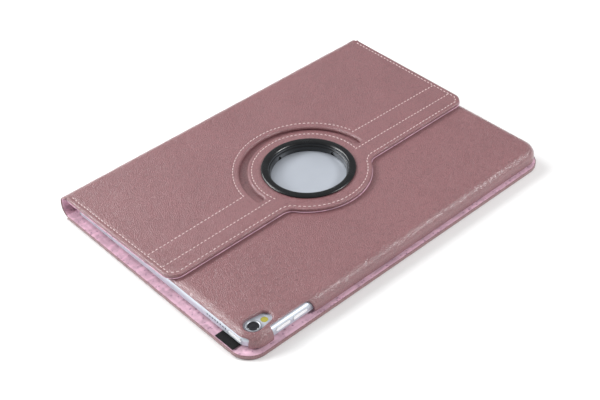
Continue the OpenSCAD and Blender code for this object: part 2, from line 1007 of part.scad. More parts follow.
module microphone() {
    color([0.7, 0.65, 0.4])
        translate([-cavity_hx + inner_gap + tab_edge / 2, 0, z_port])
            block([0, -mic_l / 2, -mic_t / 2], [mic_w, mic_l / 2, mic_t / 2]);
}

// Three round contacts for a keyboard on the long side
module keyboard_contacts() {
    color([0.85, 0.82, 0.7])
        for (k = [-1 : 1])
            translate([k * contact_pitch, tab_hy, z_port])
                rotate([90, 0, 0])
                    cylinder(h = tab_wall + contact_in, r = contact_r, $fn = 32);
}

module antennas() {
    color([0.8, 0.55, 0.3])
        for (y = [-aerial_y, aerial_y])
            translate([-cavity_hx + inner_gap + tab_edge / 2, y, z_port])
                block([0, -aerial_l / 2, -aerial_t / 2], [aerial_w, aerial_l / 2, aerial_t / 2]);
}

module display_flex() {
    color([0.75, 0.5, 0.2])
        for (x = [-2 * flex_l, 0])
            block([x, board_y - flex_reach, z_in], [x + flex_l, board_y - inner_gap, z_in + flex_t]);
}

module battery_flex() {
    color([0.75, 0.5, 0.2])
        block([-flex_l / 2, board_y + board_w + inner_gap, z_in],
              [flex_l / 2, cell_y0 - inner_gap, z_in + flex_t]);
}

// Thin strip behind the volume buttons, which carries their switches
module button_flex() {
    y = -tab_hy + cap_in + flange_t + tab_wall + switch_t + switch_gap + button_travel;
    color([0.75, 0.5, 0.2])
        block([volume_x[0] - button_l, y, z_glass_top + inner_gap],
              [volume_x[1] + button_l, y + flex_t, z_port]);
}

// ---- Buttons ----

// Side button: cap, neck and the ledge that holds it in; Z is outwards from the housing's side.
// The ledge keeps clear of the housing's rolled edge above and of its round corner at +X.
module side_button() {
    under = tab_wall + button_gap;
    translate([0, 0, -under])
        pill(button_l, button_w, under + button_proud);
    block([-button_l / 2 - flange_over, -button_w / 2 - flange_over, -under - flange_t],
          [button_l / 2 - ledge_short, 0, -under]);
}

// Switch behind a side button's flange
module side_switch() {
    back = tab_wall + button_gap + flange_t + button_travel + switch_gap;
    translate([-switch_l / 2, -switch_w, -back - switch_t])
        cube([switch_l, switch_w, switch_t]);
}

module button_switches() {
    color([0.8, 0.8, 0.78]) {
        on_end(-1, power_y, z_port)
            side_switch();
        for (x = volume_x)
            on_side(x, z_port)
                side_switch();
    }
}

module home_button_ring() {
    color([0.8, 0.8, 0.82])
        translate([home_x, 0, 0])
            tube(home_r + button_gap + home_ring_w, home_r + button_gap, z_face, z_glass_top);
}

module home_button_sensor() {
    z = z_face + home_t + button_travel + switch_gap;
    color([0.2, 0.2, 0.22])
        translate([tab_hx - port_depth - inner_gap - sensor_r, 0, z])
            cylinder(h = switch_t, r = sensor_r);
}

module power_button() {
    color([0.84, 0.85, 0.87])
        on_end(-1, power_y, z_port)
            side_button();
}

module volume_up_button() {
    color([0.84, 0.85, 0.87])
        on_side(volume_x[0], z_port)
            side_button();
}

module volume_down_button() {
    color([0.84, 0.85, 0.87])
        on_side(volume_x[1], z_port)
            side_button();
}

// Round button in the display's glass, with a wider foot behind the ring
module home_button() {
    color([0.05, 0.05, 0.06])
        translate([home_x, 0, z_face]) {
            cylinder(h = home_t, r = home_r);
            translate([0, 0, glass_t + button_gap])
                cylinder(h = home_t - glass_t - button_gap, r = home_r + home_ring_w);
        }
}

front_cover_leather();
front_cover_board();
front_cover_lining();
cover_magnets();
elastic_strap();
spine_leather();
spine_lining();
flap_leather();
flap_spine_board();
flap_disc_board();
flap_hinge_strip();
flap_lining();
swivel_bush();
swivel_washer();
swivel_ring();
swivel_hub();
swivel_screws();
tray_shell();
tray_leather();
tray_lining();
rear_housing();
display_glass();
display_panel();
display_plate();
battery_cells();
battery_tray();
logic_board();
chip_shields();
board_screws();
socket_board();
rear_camera_module();
rear_camera_ring();
rear_camera_lens();
flash_lens();
front_camera();
speakers();
headphone_socket();
charging_socket();
microphone();
keyboard_contacts();
antennas();
display_flex();
battery_flex();
button_flex();
button_switches();
home_button_ring();
home_button_sensor();
power_button();
volume_up_button();
volume_down_button();
home_button();
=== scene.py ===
"""Finishes for a tablet computer in a folio case with a swivelling back: turned leather skins, a felt
lining, sewn seams, an elastic strap and the studio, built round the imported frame."""

import math
import random

import bmesh
import bpy
import numpy as np
from bpy.props import FloatProperty, FloatVectorProperty, IntProperty, PointerProperty
from mathutils import Matrix, Vector, geometry, noise


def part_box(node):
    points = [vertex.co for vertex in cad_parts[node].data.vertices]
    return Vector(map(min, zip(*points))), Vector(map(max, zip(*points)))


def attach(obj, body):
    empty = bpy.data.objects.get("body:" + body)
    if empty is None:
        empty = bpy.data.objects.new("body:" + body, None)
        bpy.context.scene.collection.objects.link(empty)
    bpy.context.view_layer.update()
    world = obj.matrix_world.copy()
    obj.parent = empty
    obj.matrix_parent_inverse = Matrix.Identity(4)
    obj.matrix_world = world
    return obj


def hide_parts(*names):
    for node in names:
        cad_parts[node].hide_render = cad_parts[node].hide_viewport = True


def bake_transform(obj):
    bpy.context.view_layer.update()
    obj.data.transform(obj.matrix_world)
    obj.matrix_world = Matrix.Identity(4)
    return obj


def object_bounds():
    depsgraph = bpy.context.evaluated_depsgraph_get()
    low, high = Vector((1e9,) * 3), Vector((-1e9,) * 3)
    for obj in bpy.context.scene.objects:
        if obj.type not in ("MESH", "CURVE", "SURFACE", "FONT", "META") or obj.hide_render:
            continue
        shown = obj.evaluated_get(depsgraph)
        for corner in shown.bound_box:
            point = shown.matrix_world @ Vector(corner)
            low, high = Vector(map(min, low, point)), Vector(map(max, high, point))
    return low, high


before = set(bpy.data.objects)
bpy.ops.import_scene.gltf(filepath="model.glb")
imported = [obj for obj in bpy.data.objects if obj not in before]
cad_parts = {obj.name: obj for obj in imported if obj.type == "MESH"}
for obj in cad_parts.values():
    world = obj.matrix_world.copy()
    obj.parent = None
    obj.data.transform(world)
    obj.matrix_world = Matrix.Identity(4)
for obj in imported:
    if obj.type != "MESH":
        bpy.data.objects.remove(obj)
cad_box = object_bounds()

bl_info = {
    "name": "Tablet folio",
    "version": (1, 0, 0),
    "blender": (4, 5, 0),
    "location": "View3D > Sidebar > Folio",
    "description": "Skins, seams and finishes of a tablet in a swivelling folio",
    "category": "Add Mesh",
}

MM = 0.001


def extent(node):
    """Lowest and highest corner of a frame node, in millimetres."""
    low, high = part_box(node)
    return [v / MM for v in low], [v / MM for v in high]


# ---- Sizes read from the frame, in millimetres ----

FLAP_LOW, FLAP_HIGH = extent("flap_leather")
FELT_LOW, FELT_HIGH = extent("flap_lining")
TRAY_LOW, TRAY_HIGH = extent("tray_leather")
COVER_LOW, COVER_HIGH = extent("front_cover_leather")
LINING_LOW, LINING_HIGH = extent("front_cover_lining")
SPINE_LOW, SPINE_HIGH = extent("spine_leather")
SPINE_FELT_HIGH = extent("spine_lining")[1]
STRAP_LOW, STRAP_HIGH = extent("elastic_strap")
RING_LOW, RING_HIGH = extent("swivel_ring")
BUSH_HIGH = extent("swivel_bush")[1]
WASHER_HIGH = extent("swivel_washer")[1]
HUB_HIGH = extent("swivel_hub")[1]
TABLET_LOW, TABLET_HIGH = extent("rear_housing")
CAMERA_LOW, CAMERA_HIGH = extent("rear_camera_ring")
LENS_LOW, LENS_HIGH = extent("rear_camera_lens")
FLASH_LOW, FLASH_HIGH = extent("flash_lens")
VOLUME_LOW = extent("volume_up_button")[0]
VOLUME_HIGH = extent("volume_down_button")[1]

# ---- Settings ----


class FolioSizes(bpy.types.PropertyGroup):
    """Sizes of the sewn and moulded details."""

    leather_t: FloatProperty(
        name="Leather", description="Thickness of the outer leather", default=0.8 * MM, unit="LENGTH"
    )
    turn_r: FloatProperty(
        name="Turned edge", description="Radius of a turned leather edge", default=0.9 * MM, unit="LENGTH"
    )
    band_pitch: FloatProperty(
        name="Band stitch",
        description="Pitch of the stitches of the hinge band",
        default=2.9 * MM,
        unit="LENGTH",
    )
    edge_pitch: FloatProperty(
        name="Edge stitch",
        description="Pitch of the stitches along the edges",
        default=3.1 * MM,
        unit="LENGTH",
    )
    thread_r: FloatProperty(
        name="Thread", description="Radius of the sewing thread", default=0.25 * MM, unit="LENGTH"
    )
    seam_depth: FloatProperty(
        name="Seam",
        description="Depth that a seam pulls into the leather",
        default=0.22 * MM,
        unit="LENGTH",
    )
    tray_edge: FloatProperty(
        name="Tray edge", description="Radius of the tray's rounded top edge", default=6 * MM, unit="LENGTH"
    )
    tray_wall: FloatProperty(
        name="Tray wall",
        description="Thickness of the tray with its leather",
        default=2 * MM,
        unit="LENGTH",
    )
    slot_w: FloatProperty(
        name="Slot", description="Width of the curved slot", default=5 * MM, unit="LENGTH"
    )
    rib_pitch: FloatProperty(
        name="Strap rib",
        description="Pitch of the ribs of the elastic strap",
        default=0.8 * MM,
        unit="LENGTH",
    )
    grain: FloatProperty(
        name="Grain", description="Size of a pebble of the leather's grain", default=1.0 * MM, unit="LENGTH"
    )
    mesh_step: FloatProperty(
        name="Mesh step", description="Spacing of the points over a skin", default=2.4 * MM, unit="LENGTH"
    )
    seed: IntProperty(name="Seed", description="Seed of the small irregularities", default=7)


def paint(label, note, default):
    """A colour that a user may change."""
    return FloatVectorProperty(
        name=label, description=note, default=default, size=3, min=0, max=1, subtype="COLOR"
    )


class FolioColours(bpy.types.PropertyGroup):
    """Colours of the case and the tablet."""

    leather: paint("Leather", "Colour of the pebbled leather", (0.27, 0.115, 0.126))
    lining: paint("Lining", "Colour of the felt lining", (0.66, 0.42, 0.52))
    thread: paint("Thread", "Colour of the sewing thread", (0.86, 0.70, 0.69))
    webbing: paint("Webbing", "Colour of the elastic strap", (0.005, 0.005, 0.006))
    plastic: paint("Swivel", "Colour of the swivel's plastic", (0.004, 0.0045, 0.0055))
    aluminium: paint("Aluminium", "Colour of the tablet's housing", (0.58, 0.62, 0.69))
    flash: paint("Flash", "Colour of the flash's lens", (0.30, 0.27, 0.04))


class FolioStage(bpy.types.PropertyGroup):
    """Camera, lights and floor."""

    azimuth: FloatProperty(
        name="Azimuth", description="Direction of the camera", default=math.radians(-40.65), subtype="ANGLE"
    )
    elevation: FloatProperty(
        name="Elevation", description="Height of the camera", default=math.radians(39.83), subtype="ANGLE"
    )
    roll: FloatProperty(
        name="Roll", description="Roll of the camera", default=math.radians(-2.78), subtype="ANGLE"
    )
    distance: FloatProperty(
        name="Distance", description="Distance of the camera", default=772.4 * MM, unit="LENGTH"
    )
    aim_x: FloatProperty(name="Aim X", description="Point looked at", default=-12.8 * MM, unit="LENGTH")
    aim_y: FloatProperty(name="Aim Y", description="Point looked at", default=-5 * MM, unit="LENGTH")
    lens: FloatProperty(name="Lens", description="Focal length in millimetres", default=71.83)
    key: FloatProperty(name="Key", description="Power of the key light", default=14.0)
    boxes: FloatProperty(
        name="Boxes", description="Power of the two lights that graze the edges", default=18.0
    )
    sky: FloatProperty(name="Sky", description="Strength of the surroundings", default=0.36)
    floor: paint("Floor", "Colour of the floor", (0.93, 0.93, 0.93))


# ---- Outlines, in millimetres ----


def arc(centre, r, a0, a1, steps):
    """Points along an arc, from angle a0 to a1 in degrees, without its two ends."""
    angles = [math.radians(a0 + (a1 - a0) * (k + 0.5) / steps) for k in range(steps)]
    return [(centre[0] + r * math.cos(a), centre[1] + r * math.sin(a)) for a in angles]


def split_long(points, step):
    """A closed outline with points added along its long straight runs."""
    out = []
    for p, q in zip(points, points[1:] + points[:1]):
        n = max(1, math.ceil(math.dist(p, q) / step))
        out += [(p[0] + (q[0] - p[0]) * k / n, p[1] + (q[1] - p[1]) * k / n) for k in range(n)]
    return out


def round_corner(before, corner, after, r, steps=8):
    """Soft corner: a curve that leaves the corner r short on both sides."""
    a, c, b = Vector(before), Vector(corner), Vector(after)
    p, q = c + (a - c).normalized() * r, c + (b - c).normalized() * r
    out = []
    for k in range(steps + 1):
        t = k / steps
        out.append(tuple(p * (1 - t) ** 2 + c * 2 * t * (1 - t) + q * t * t))
    return out


def soften(loop, r):
    """A closed outline with its sharp corners rounded."""
    pts = [Vector(p) for p in loop]
    n = len(pts)
    sharp = [k for k in range(n) if (pts[k] - pts[k - 1]).angle(pts[(k + 1) % n] - pts[k], 0.0) > 0.6]
    out = []
    for k, p in enumerate(pts):
        if k in sharp:
            before = next(pts[k - j] for j in range(1, n) if (pts[k - j] - p).length > r)
            after = next(pts[(k + j) % n] for j in range(1, n) if (pts[(k + j) % n] - p).length > r)
            out += round_corner(before, p, after, r, 5)
        elif all((pts[c] - p).length > r for c in sharp):
            out.append(tuple(p))
    return out


def inward(loop, hole):
    """Unit directions from each point of a closed loop into the skin. A hole's skin lies outside it."""
    pts = np.array(loop)
    along = np.roll(pts, -1, 0) - np.roll(pts, 1, 0)
    along /= np.linalg.norm(along, axis=1)[:, None]
    nxt = np.roll(pts, -1, 0)
    area = np.sum(pts[:, 0] * nxt[:, 1] - nxt[:, 0] * pts[:, 1])
    side = 1 if (area > 0) != hole else -1
    return np.stack([-along[:, 1], along[:, 0]], 1) * side


def inside(points, loop):
    """Which points lie inside a closed loop."""
    pts = np.asarray(points)
    x, y = pts[:, 0], pts[:, 1]
    hit = np.zeros(len(pts), bool)
    for p, q in zip(loop, loop[1:] + loop[:1]):
        if p[1] == q[1]:
            continue
        crosses = (p[1] > y) != (q[1] > y)
        hit ^= crosses & (x < p[0] + (y - p[1]) * (q[0] - p[0]) / (q[1] - p[1]))
    return hit


def path_distance(points, path, closed=False):
    """Distance from each point to a path, and how far along the path it is."""
    pts = np.asarray(points, float)
    ends = path[1:] + path[:1] if closed else path[1:]
    best = np.full(len(pts), 1e9)
    along = np.zeros(len(pts))
    run = 0.0
    for p, q in zip(path, ends):
        p, d = np.array(p), np.array(q) - np.array(p)
        length = np.linalg.norm(d)
        if length < 1e-9:
            continue
        t = np.clip((pts - p) @ d / length**2, 0, 1)
        far = np.linalg.norm(pts - p - t[:, None] * d, axis=1)
        near = far < best
        best[near] = far[near]
        along[near] = run + t[near] * length
        run += length
    return best, along


def even_points(path, pitch, closed=False):
    """Points at an even pitch along a path, with the path's direction at each."""
    pts = [Vector(p) for p in path] + ([Vector(path[0])] if closed else [])
    runs = [(q - p).length for p, q in zip(pts, pts[1:])]
    total = sum(runs)
    n = max(2, round(total / pitch))
    out = []
    k, past = 0, 0.0
    for i in range(n if closed else n + 1):
        want = min(total * i / n, total - 1e-6)
        while k < len(runs) - 1 and past + runs[k] < want:
            past += runs[k]
            k += 1
        d = (pts[k + 1] - pts[k]).normalized()
        out.append((pts[k] + d * (want - past), d))
    return out


def hex_points(low, high, step, seed):
    """Even field of points between two corners, very slightly shaken."""
    rng = np.random.default_rng(seed)
    rows = int((high[1] - low[1]) / (step * 0.866)) + 1
    cols = int((high[0] - low[0]) / step) + 1
    x, y = np.meshgrid(np.arange(cols) * step, np.arange(rows) * step * 0.866)
    x = x + (np.arange(rows) % 2)[:, None] * step / 2
    pts = np.stack([x.ravel() + low[0], y.ravel() + low[1]], 1)
    return pts + rng.uniform(-0.04, 0.04, pts.shape) * step


# ---- Meshes ----

WELD = 2e-7
BORDER_CLEAR = 0.45
CDT_MERGE = 1e-5
ROW_OFFSETS = (-1.6, -0.75, 0.0, 0.75, 1.6)
ROW_CLEAR = 2.2
ROW_CELL = 0.6
PUFF_AT = 1.6
EASE_RUN = 3


def put(name, verts, faces, finish, body, replaced=(), sharp=38):
    """Makes a piece from points in millimetres, closed and with its faces outwards, and lets it ride."""
    mesh = bpy.data.meshes.new(name)
    mesh.from_pydata([(v[0] * MM, v[1] * MM, v[2] * MM) for v in verts], [], faces)
    bm = bmesh.new()
    bm.from_mesh(mesh)
    bmesh.ops.remove_doubles(bm, verts=bm.verts, dist=WELD)
    bmesh.ops.dissolve_degenerate(bm, edges=bm.edges, dist=1e-8)
    bmesh.ops.recalc_face_normals(bm, faces=bm.faces)
    open_edges = sum(len(e.link_faces) != 2 for e in bm.edges)
    bm.to_mesh(mesh)
    bm.free()
    if open_edges:
        print(f"{name}: {open_edges} open or shared edges")
    mesh.shade_smooth()
    mesh.set_sharp_from_angle(angle=math.radians(sharp))
    obj = bpy.data.objects.new(name, mesh)
    bpy.context.scene.collection.objects.link(obj)
    mesh.materials.append(finish)
    if body:
        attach(obj, body)
    if replaced:
        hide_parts(*replaced)
    return obj


def areas(tris, walls):
    """Which area each triangle belongs to, where the walls are the edges that part them."""
    sides = ((0, 1), (1, 2), (2, 0))
    beside = {}
    for t, tri in enumerate(tris):
        for a, b in sides:
            beside.setdefault(frozenset((tri[a], tri[b])), []).append(t)
    area = [-1] * len(tris)
    for first in range(len(tris)):
        if area[first] >= 0:
            continue
        area[first] = first
        stack = [first]
        while stack:
            tri = tris[stack.pop()]
            keys = (frozenset((tri[a], tri[b])) for a, b in sides)
            for other in (t for key in keys if key not in walls for t in beside[key]):
                if area[other] < 0:
                    area[other] = first
                    stack.append(other)
    return np.array(area)


def skin(loops, field, rim, place, ease=None):
    """Closed skin. loops: the outer outline, then the holes. field: points inside. rim: (inset, depth)
    from the outer face's border round to the inner face's, both with the same inset, for all loops or
    one for each. place: lays a flat point at a depth under the outer face. ease: 1 where an edge is
    turned, 0 where it runs on."""
    rims = rim if isinstance(rim[0], list) else [rim] * len(loops)
    insets = [r[0][0] for r in rims]
    ways = [inward(loop, k > 0) for k, loop in enumerate(loops)]
    eases = [np.ones(len(loop)) if ease is None else ease(np.array(loop)) for loop in loops]
    borders = [np.array(p) + w * (i * e)[:, None] for p, w, e, i in zip(loops, ways, eases, insets)]
    flat = np.asarray(field, float)
    keep = inside(flat, [tuple(p) for p in borders[0]])
    for border in borders[1:]:
        keep &= ~inside(flat, [tuple(p) for p in border])
    for border in borders:
        near, _ = path_distance(flat, [tuple(p) for p in border], closed=True)
        keep &= near > BORDER_CLEAR
    flat = flat[keep]
    points = np.concatenate([*borders, flat])
    edges, start = [], 0
    for border in borders:
        n = len(border)
        edges += [(start + k, start + (k + 1) % n) for k in range(n)]
        start += n
    made = geometry.delaunay_2d_cdt([Vector(p) for p in points], edges, [], 0, CDT_MERGE)
    at = {i: k for k, source in enumerate(made[3]) for i in source}
    xy = np.array([tuple(p) for p in made[0]])
    tris = np.array([f for f in made[2]])
    middle = xy[tris].mean(axis=1)
    within = inside(middle, [tuple(p) for p in borders[0]])
    for border in borders[1:]:
        within &= ~inside(middle, [tuple(p) for p in border])
    area = areas(tris.tolist(), {frozenset((at[a], at[b])) for a, b in edges})
    u, v = xy[tris[:, 1]] - xy[tris[:, 0]], xy[tris[:, 2]] - xy[tris[:, 0]]
    size = np.abs(u[:, 0] * v[:, 1] - u[:, 1] * v[:, 0])
    good = np.zeros(len(tris), bool)
    for label in np.unique(area):
        mine = np.flatnonzero(area == label)
        good[mine] = within[mine[np.argmax(size[mine])]]
    tris = tris[good]
    deep = rims[0][-1][1]
    verts = list(place(xy, np.zeros(len(xy)))) + list(place(xy, np.full(len(xy), deep)))
    n = len(xy)
    faces = [tuple(t) for t in tris] + [tuple(int(i) + n for i in t[::-1]) for t in tris]
    start = 0
    for loop, way, e, border_rim in zip(loops, ways, eases, rims):
        count = len(loop)
        rows = [[at[start + k] for k in range(count)]]
        for i, h in border_rim[1:-1]:
            base = len(verts)
            depth = np.where(h > deep, deep + (h - deep) * e, h)
            verts += list(place(np.array(loop) + way * (i * e)[:, None], depth))
            rows.append([base + k for k in range(count)])
        rows.append([at[start + k] + n for k in range(count)])
        for a, b in zip(rows, rows[1:]):
            faces += [(a[k], a[(k + 1) % count], b[(k + 1) % count], b[k]) for k in range(count)]
        start += count
    return verts, faces


def tube_grid(rows):
    """Points and faces of a tube, closed at both ends, from rows of the same number of points."""
    n, faces = len(rows[0]), []
    for j in range(len(rows) - 1):
        for k in range(n):
            a, b = j * n + k, j * n + (k + 1) % n
            faces.append((a, b, b + n, a + n))
    faces.append(tuple(range(n)))
    faces.append(tuple((len(rows) - 1) * n + k for k in reversed(range(n))))
    return [p for row in rows for p in row], faces


def turned_ring(profile, steps, centre=(0, 0), shape=None):
    """A closed profile of (radius, height) points turned about a vertical axis."""
    rows = []
    for k in range(steps):
        a = 2 * math.pi * k / steps
        row = [shape(r, z, a) if shape else (r, z) for r, z in profile]
        rows.append([(centre[0] + r * math.cos(a), centre[1] + r * math.sin(a), z) for r, z in row])
    n = len(profile)
    faces = []
    for j in range(steps):
        for k in range(n):
            a, b = j * n + k, j * n + (k + 1) % n
            c, d = ((j + 1) % steps) * n + (k + 1) % n, ((j + 1) % steps) * n + k
            faces.append((a, b, c, d))
    return [p for row in rows for p in row], faces


def stitch_row(path, pitch, r, height, side=1, closed=False, seed=1, share=0.7):
    """Stitches along a path: short arched threads that dive into the leather at both ends. height gives
    the leather's face at flat points; side is 1 on a face that looks up and -1 on one that looks down."""
    rng = random.Random(seed)
    parts = []
    ring = [(math.cos(a), math.sin(a)) for a in (math.tau * k / 8 for k in range(8))]
    spans = even_points(path, pitch, closed)
    starts = spans if closed else spans[:-1]
    for p, d in starts:
        lean = rng.uniform(-0.06, 0.06)
        d = Vector((d.x - lean * d.y, d.y + lean * d.x)).normalized()
        across = Vector((-d.y, d.x))
        rows = []
        for j in range(7):
            t = j / 6
            q = p + d * (pitch * (0.5 - share / 2 + share * t))
            lift = r * (1.5 * math.sin(math.pi * t) - 0.75)
            fat = r * (0.55 + 0.45 * math.sin(math.pi * t))
            z = float(height(np.array([tuple(q)]))[0]) + side * lift
            rows.append(
                [(q.x + across.x * fat * c, q.y + across.y * fat * c, z + fat * s) for c, s in ring]
            )
        parts.append(tube_grid(rows))
    return merge(parts)


def merge(parts):
    """Several lists of points and faces as one."""
    verts, faces = [], []
    for v, f in parts:
        base = len(verts)
        verts += v
        faces += [tuple(i + base for i in face) for face in f]
    return verts, faces


def turned_share(points, fold_y):
    """1 where an edge is turned under, easing to 0 at the fold, where the skin runs on."""
    x = np.clip((fold_y - points[:, 1]) / EASE_RUN, 0, 1)
    return x * x * (3 - 2 * x)


def unevenness(points, scale, height, seed=0.0):
    """Slow rise and fall over a skin."""
    return np.array([noise.noise(Vector((x / scale, y / scale, seed))) for x, y in points]) * height


def seam_relief(points, seams, depth, width=0.6):
    """How far a skin is pulled in along its seams; it puffs up a little between two stitches."""
    pull = np.zeros(len(points))
    for path, pitch, closed in seams:
        far, along = path_distance(points, path, closed)
        puff = 0.75 + 0.25 * np.cos(2 * np.pi * along / pitch)
        pull = np.maximum(pull, depth * puff * np.exp(-((far / width) ** 2)))
        rise = depth * 0.35 * np.exp(-(((far - PUFF_AT) / 0.7) ** 2))
        pull = np.where(pull < 1e-3, -rise, pull)
    return pull


def seam_field(seams):
    """Rows of points along the seams, so that their furrows have a shape."""
    pts = []
    for path, pitch, closed in seams:
        for p, d in even_points(path, pitch / 2, closed):
            for off in ROW_OFFSETS:
                pts.append((p.x - d.y * off, p.y + d.x * off))
    return np.array(pts)


def field_with_seams(low, high, step, seams, seed):
    """Even points over a skin, thinned where the seams have their own."""
    pts = hex_points(low, high, step, seed)
    for path, _, closed in seams:
        far, _ = path_distance(pts, path, closed)
        pts = pts[far > ROW_CLEAR]
    rows = seam_field(seams)
    kept = []
    seen = set()
    for x, y in rows:
        cell = (round(x / ROW_CELL), round(y / ROW_CELL))
        if cell not in seen:
            seen.add(cell)
            kept.append((x, y))
    return np.concatenate([pts, np.array(kept)])


# ---- Finishes ----


class Finish:
    """A procedural material: one shader, laid out in the frame's own coordinates."""

    def __init__(self, name, colour, roughness, metallic=0.0, sockets=None):
        self.material = bpy.data.materials.new(name)
        self.material.use_nodes = True
        self.tree = self.material.node_tree
        self.shader = self.tree.nodes["Principled BSDF"]
        self.colour = (*colour, 1.0)
        self.set(self.shader, "Base Color", self.colour)
        self.set(self.shader, "Roughness", roughness)
        self.set(self.shader, "Metallic", metallic)
        for socket, value in (sockets or {}).items():
            self.set(self.shader, socket, value)
        self.material.diffuse_color = self.colour
        self.place = self.tree.nodes.new("ShaderNodeTexCoord").outputs["Object"]

    @staticmethod
    def set(node, socket, value):
        node.inputs[socket].default_value = value

    def link(self, out, node, socket):
        self.tree.links.new(out, node.inputs[socket])

    def stretched(self, scale):
        """Coordinates drawn out along some of the axes."""
        node = self.tree.nodes.new("ShaderNodeMapping")
        self.link(self.place, node, "Vector")
        self.set(node, "Scale", scale)
        return node.outputs["Vector"]

    def noise(self, size, detail=4.0, place=None, distortion=0.0):
        """Soft noise whose features are about size across."""
        node = self.tree.nodes.new("ShaderNodeTexNoise")
        self.link(place or self.place, node, "Vector")
        self.set(node, "Scale", 1 / size)
        self.set(node, "Detail", detail)
        self.set(node, "Distortion", distortion)
        return node.outputs["Fac"]

    def pebbles(self, size, place=None, feature="DISTANCE_TO_EDGE"):
        """Rounded cells about size across."""
        node = self.tree.nodes.new("ShaderNodeTexVoronoi")
        node.feature = feature
        self.link(place or self.place, node, "Vector")
        self.set(node, "Scale", 1 / size)
        return node.outputs["Distance"]

    def waves(self, size, axis="Y", place=None, distortion=0.0):
        """Even ridges across an axis."""
        node = self.tree.nodes.new("ShaderNodeTexWave")
        node.bands_direction = axis
        self.link(place or self.place, node, "Vector")
        self.set(node, "Scale", 0.314159 / size)
        self.set(node, "Distortion", distortion)
        return node.outputs["Fac"]

    def swirl(self, size, amount):
        """Coordinates shaken by noise, which keeps cells from looking drawn with a ruler."""
        wobble = self.tree.nodes.new("ShaderNodeTexNoise")
        self.link(self.place, wobble, "Vector")
        self.set(wobble, "Scale", 1 / size)
        scaled = self.tree.nodes.new("ShaderNodeVectorMath")
        scaled.operation = "SCALE"
        self.link(wobble.outputs["Color"], scaled, 0)
        self.set(scaled, "Scale", amount)
        added = self.tree.nodes.new("ShaderNodeVectorMath")
        self.link(self.place, added, 0)
        self.link(scaled.outputs["Vector"], added, 1)
        return added.outputs["Vector"]

    def spread(self, value, low, high, out_low, out_high):
        """A value mapped from one range to another."""
        node = self.tree.nodes.new("ShaderNodeMapRange")
        self.link(value, node, "Value")
        ends = {"From Min": low, "From Max": high, "To Min": out_low, "To Max": out_high}
        for socket, number in ends.items():
            self.set(node, socket, number)
        return node.outputs["Result"]

    def sum(self, a, b, weight=1.0):
        """a + b * weight."""
        node = self.tree.nodes.new("ShaderNodeMath")
        node.operation = "MULTIPLY_ADD"
        self.link(b, node, 0)
        node.inputs[1].default_value = weight
        self.link(a, node, 2)
        return node.outputs[0]

    def blend(self, factor, low, high):
        """Colour from low to high by a factor; either may be a colour or another output."""
        node = self.tree.nodes.new("ShaderNodeMix")
        node.data_type = "RGBA"
        self.tree.links.new(factor, node.inputs[0])
        for index, value in ((6, low), (7, high)):
            if isinstance(value, bpy.types.NodeSocket):
                self.tree.links.new(value, node.inputs[index])
            else:
                node.inputs[index].default_value = value
        return node.outputs[2]

    def tint(self, light):
        """The base colour made lighter or darker."""
        return (*(min(1.0, c * light) for c in self.colour[:3]), 1.0)

    def bump(self, height, distance, strength=1.0, socket="Normal"):
        """Raises the surface by a height, up to distance in metres."""
        node = self.tree.nodes.new("ShaderNodeBump")
        self.link(height, node, "Height")
        self.set(node, "Distance", distance)
        self.set(node, "Strength", strength)
        self.link(node.outputs["Normal"], self.shader, socket)

    def done(self, colour=None, roughness=None):
        if colour is not None:
            self.link(colour, self.shader, "Base Color")
        if roughness is not None:
            self.link(roughness, self.shader, "Roughness")
        return self.material


def leather_finish(name, colour, grain, gloss=0.36):
    """Pebbled, lightly pearly leather: fine cells, creases between them darkened with painted shade, and a
    slow change of tone.
    """
    f = Finish(name, colour, gloss, sockets={"Coat Weight": 1.0, "Coat Roughness": 0.2, "IOR": 1.52})
    shaken = f.swirl(grain * 2.2, grain * 0.55)
    cells = f.spread(f.pebbles(grain, shaken), 0.0, 0.32, 0.0, 1.0)
    fine = f.noise(grain * 0.4, 2.0)
    large = f.noise(28 * MM, 3.0)
    medium = f.noise(grain * 3.5, 3.0)
    tone = f.blend(f.spread(large, 0.35, 0.65, 0.0, 1.0), f.tint(0.93), f.tint(1.06))
    speck = f.blend(f.spread(medium, 0.35, 0.65, 0.0, 0.5), tone, f.tint(1.25))
    # Painted shade: the creases between the pebbles are darkened to 0.62 of the leather's colour.
    crease_shade = f.blend(f.spread(cells, 0.0, 0.5, 1.0, 0.0), speck, f.tint(0.62))
    height = f.sum(f.sum(cells, fine, 0.3), medium, 0.8)
    f.bump(height, 0.2 * MM)
    f.bump(height, 0.085 * MM, 1.0, "Coat Normal")
    return f.done(crease_shade, f.spread(f.sum(medium, fine, 0.5), 0.4, 1.1, gloss - 0.08, gloss + 0.14))


def felt_finish(name, colour):
    """Brushed felt: soft sheen, mottled where the pile lies both ways, with small pits darkened by painted
    shade.
    """
    soft = {"Sheen Weight": 0.3, "Sheen Roughness": 0.5, "Specular IOR Level": 0.2}
    f = Finish(name, colour, 0.9, sockets=soft)
    f.set(f.shader, "Sheen Tint", (1.0, 0.86, 0.94, 1.0))
    pile = f.noise(0.45 * MM, 4.0)
    mottle = f.noise(5.5 * MM, 4.0, f.stretched((0.6, 1.0, 1.0)), 0.6)
    pits = f.pebbles(2.6 * MM, f.swirl(3 * MM, 2 * MM), "F1")
    base = f.blend(f.spread(mottle, 0.4, 0.6, 0.0, 1.0), f.tint(0.78), f.tint(1.18))
    # Painted shade: the pits are darkened towards a deep plum.
    deep = f.blend(f.spread(pits, 0.1, 0.34, 0.85, 0.0), base, (0.24, 0.10, 0.19, 1.0))
    fuzz = f.blend(f.spread(pile, 0.35, 0.7, 0.0, 0.35), deep, f.tint(1.25))
    f.bump(f.sum(f.sum(pile, mottle, 1.5), pits, 0.6), 0.16 * MM, 0.8)
    return f.done(fuzz, f.spread(pile, 0.3, 0.7, 0.78, 0.96))


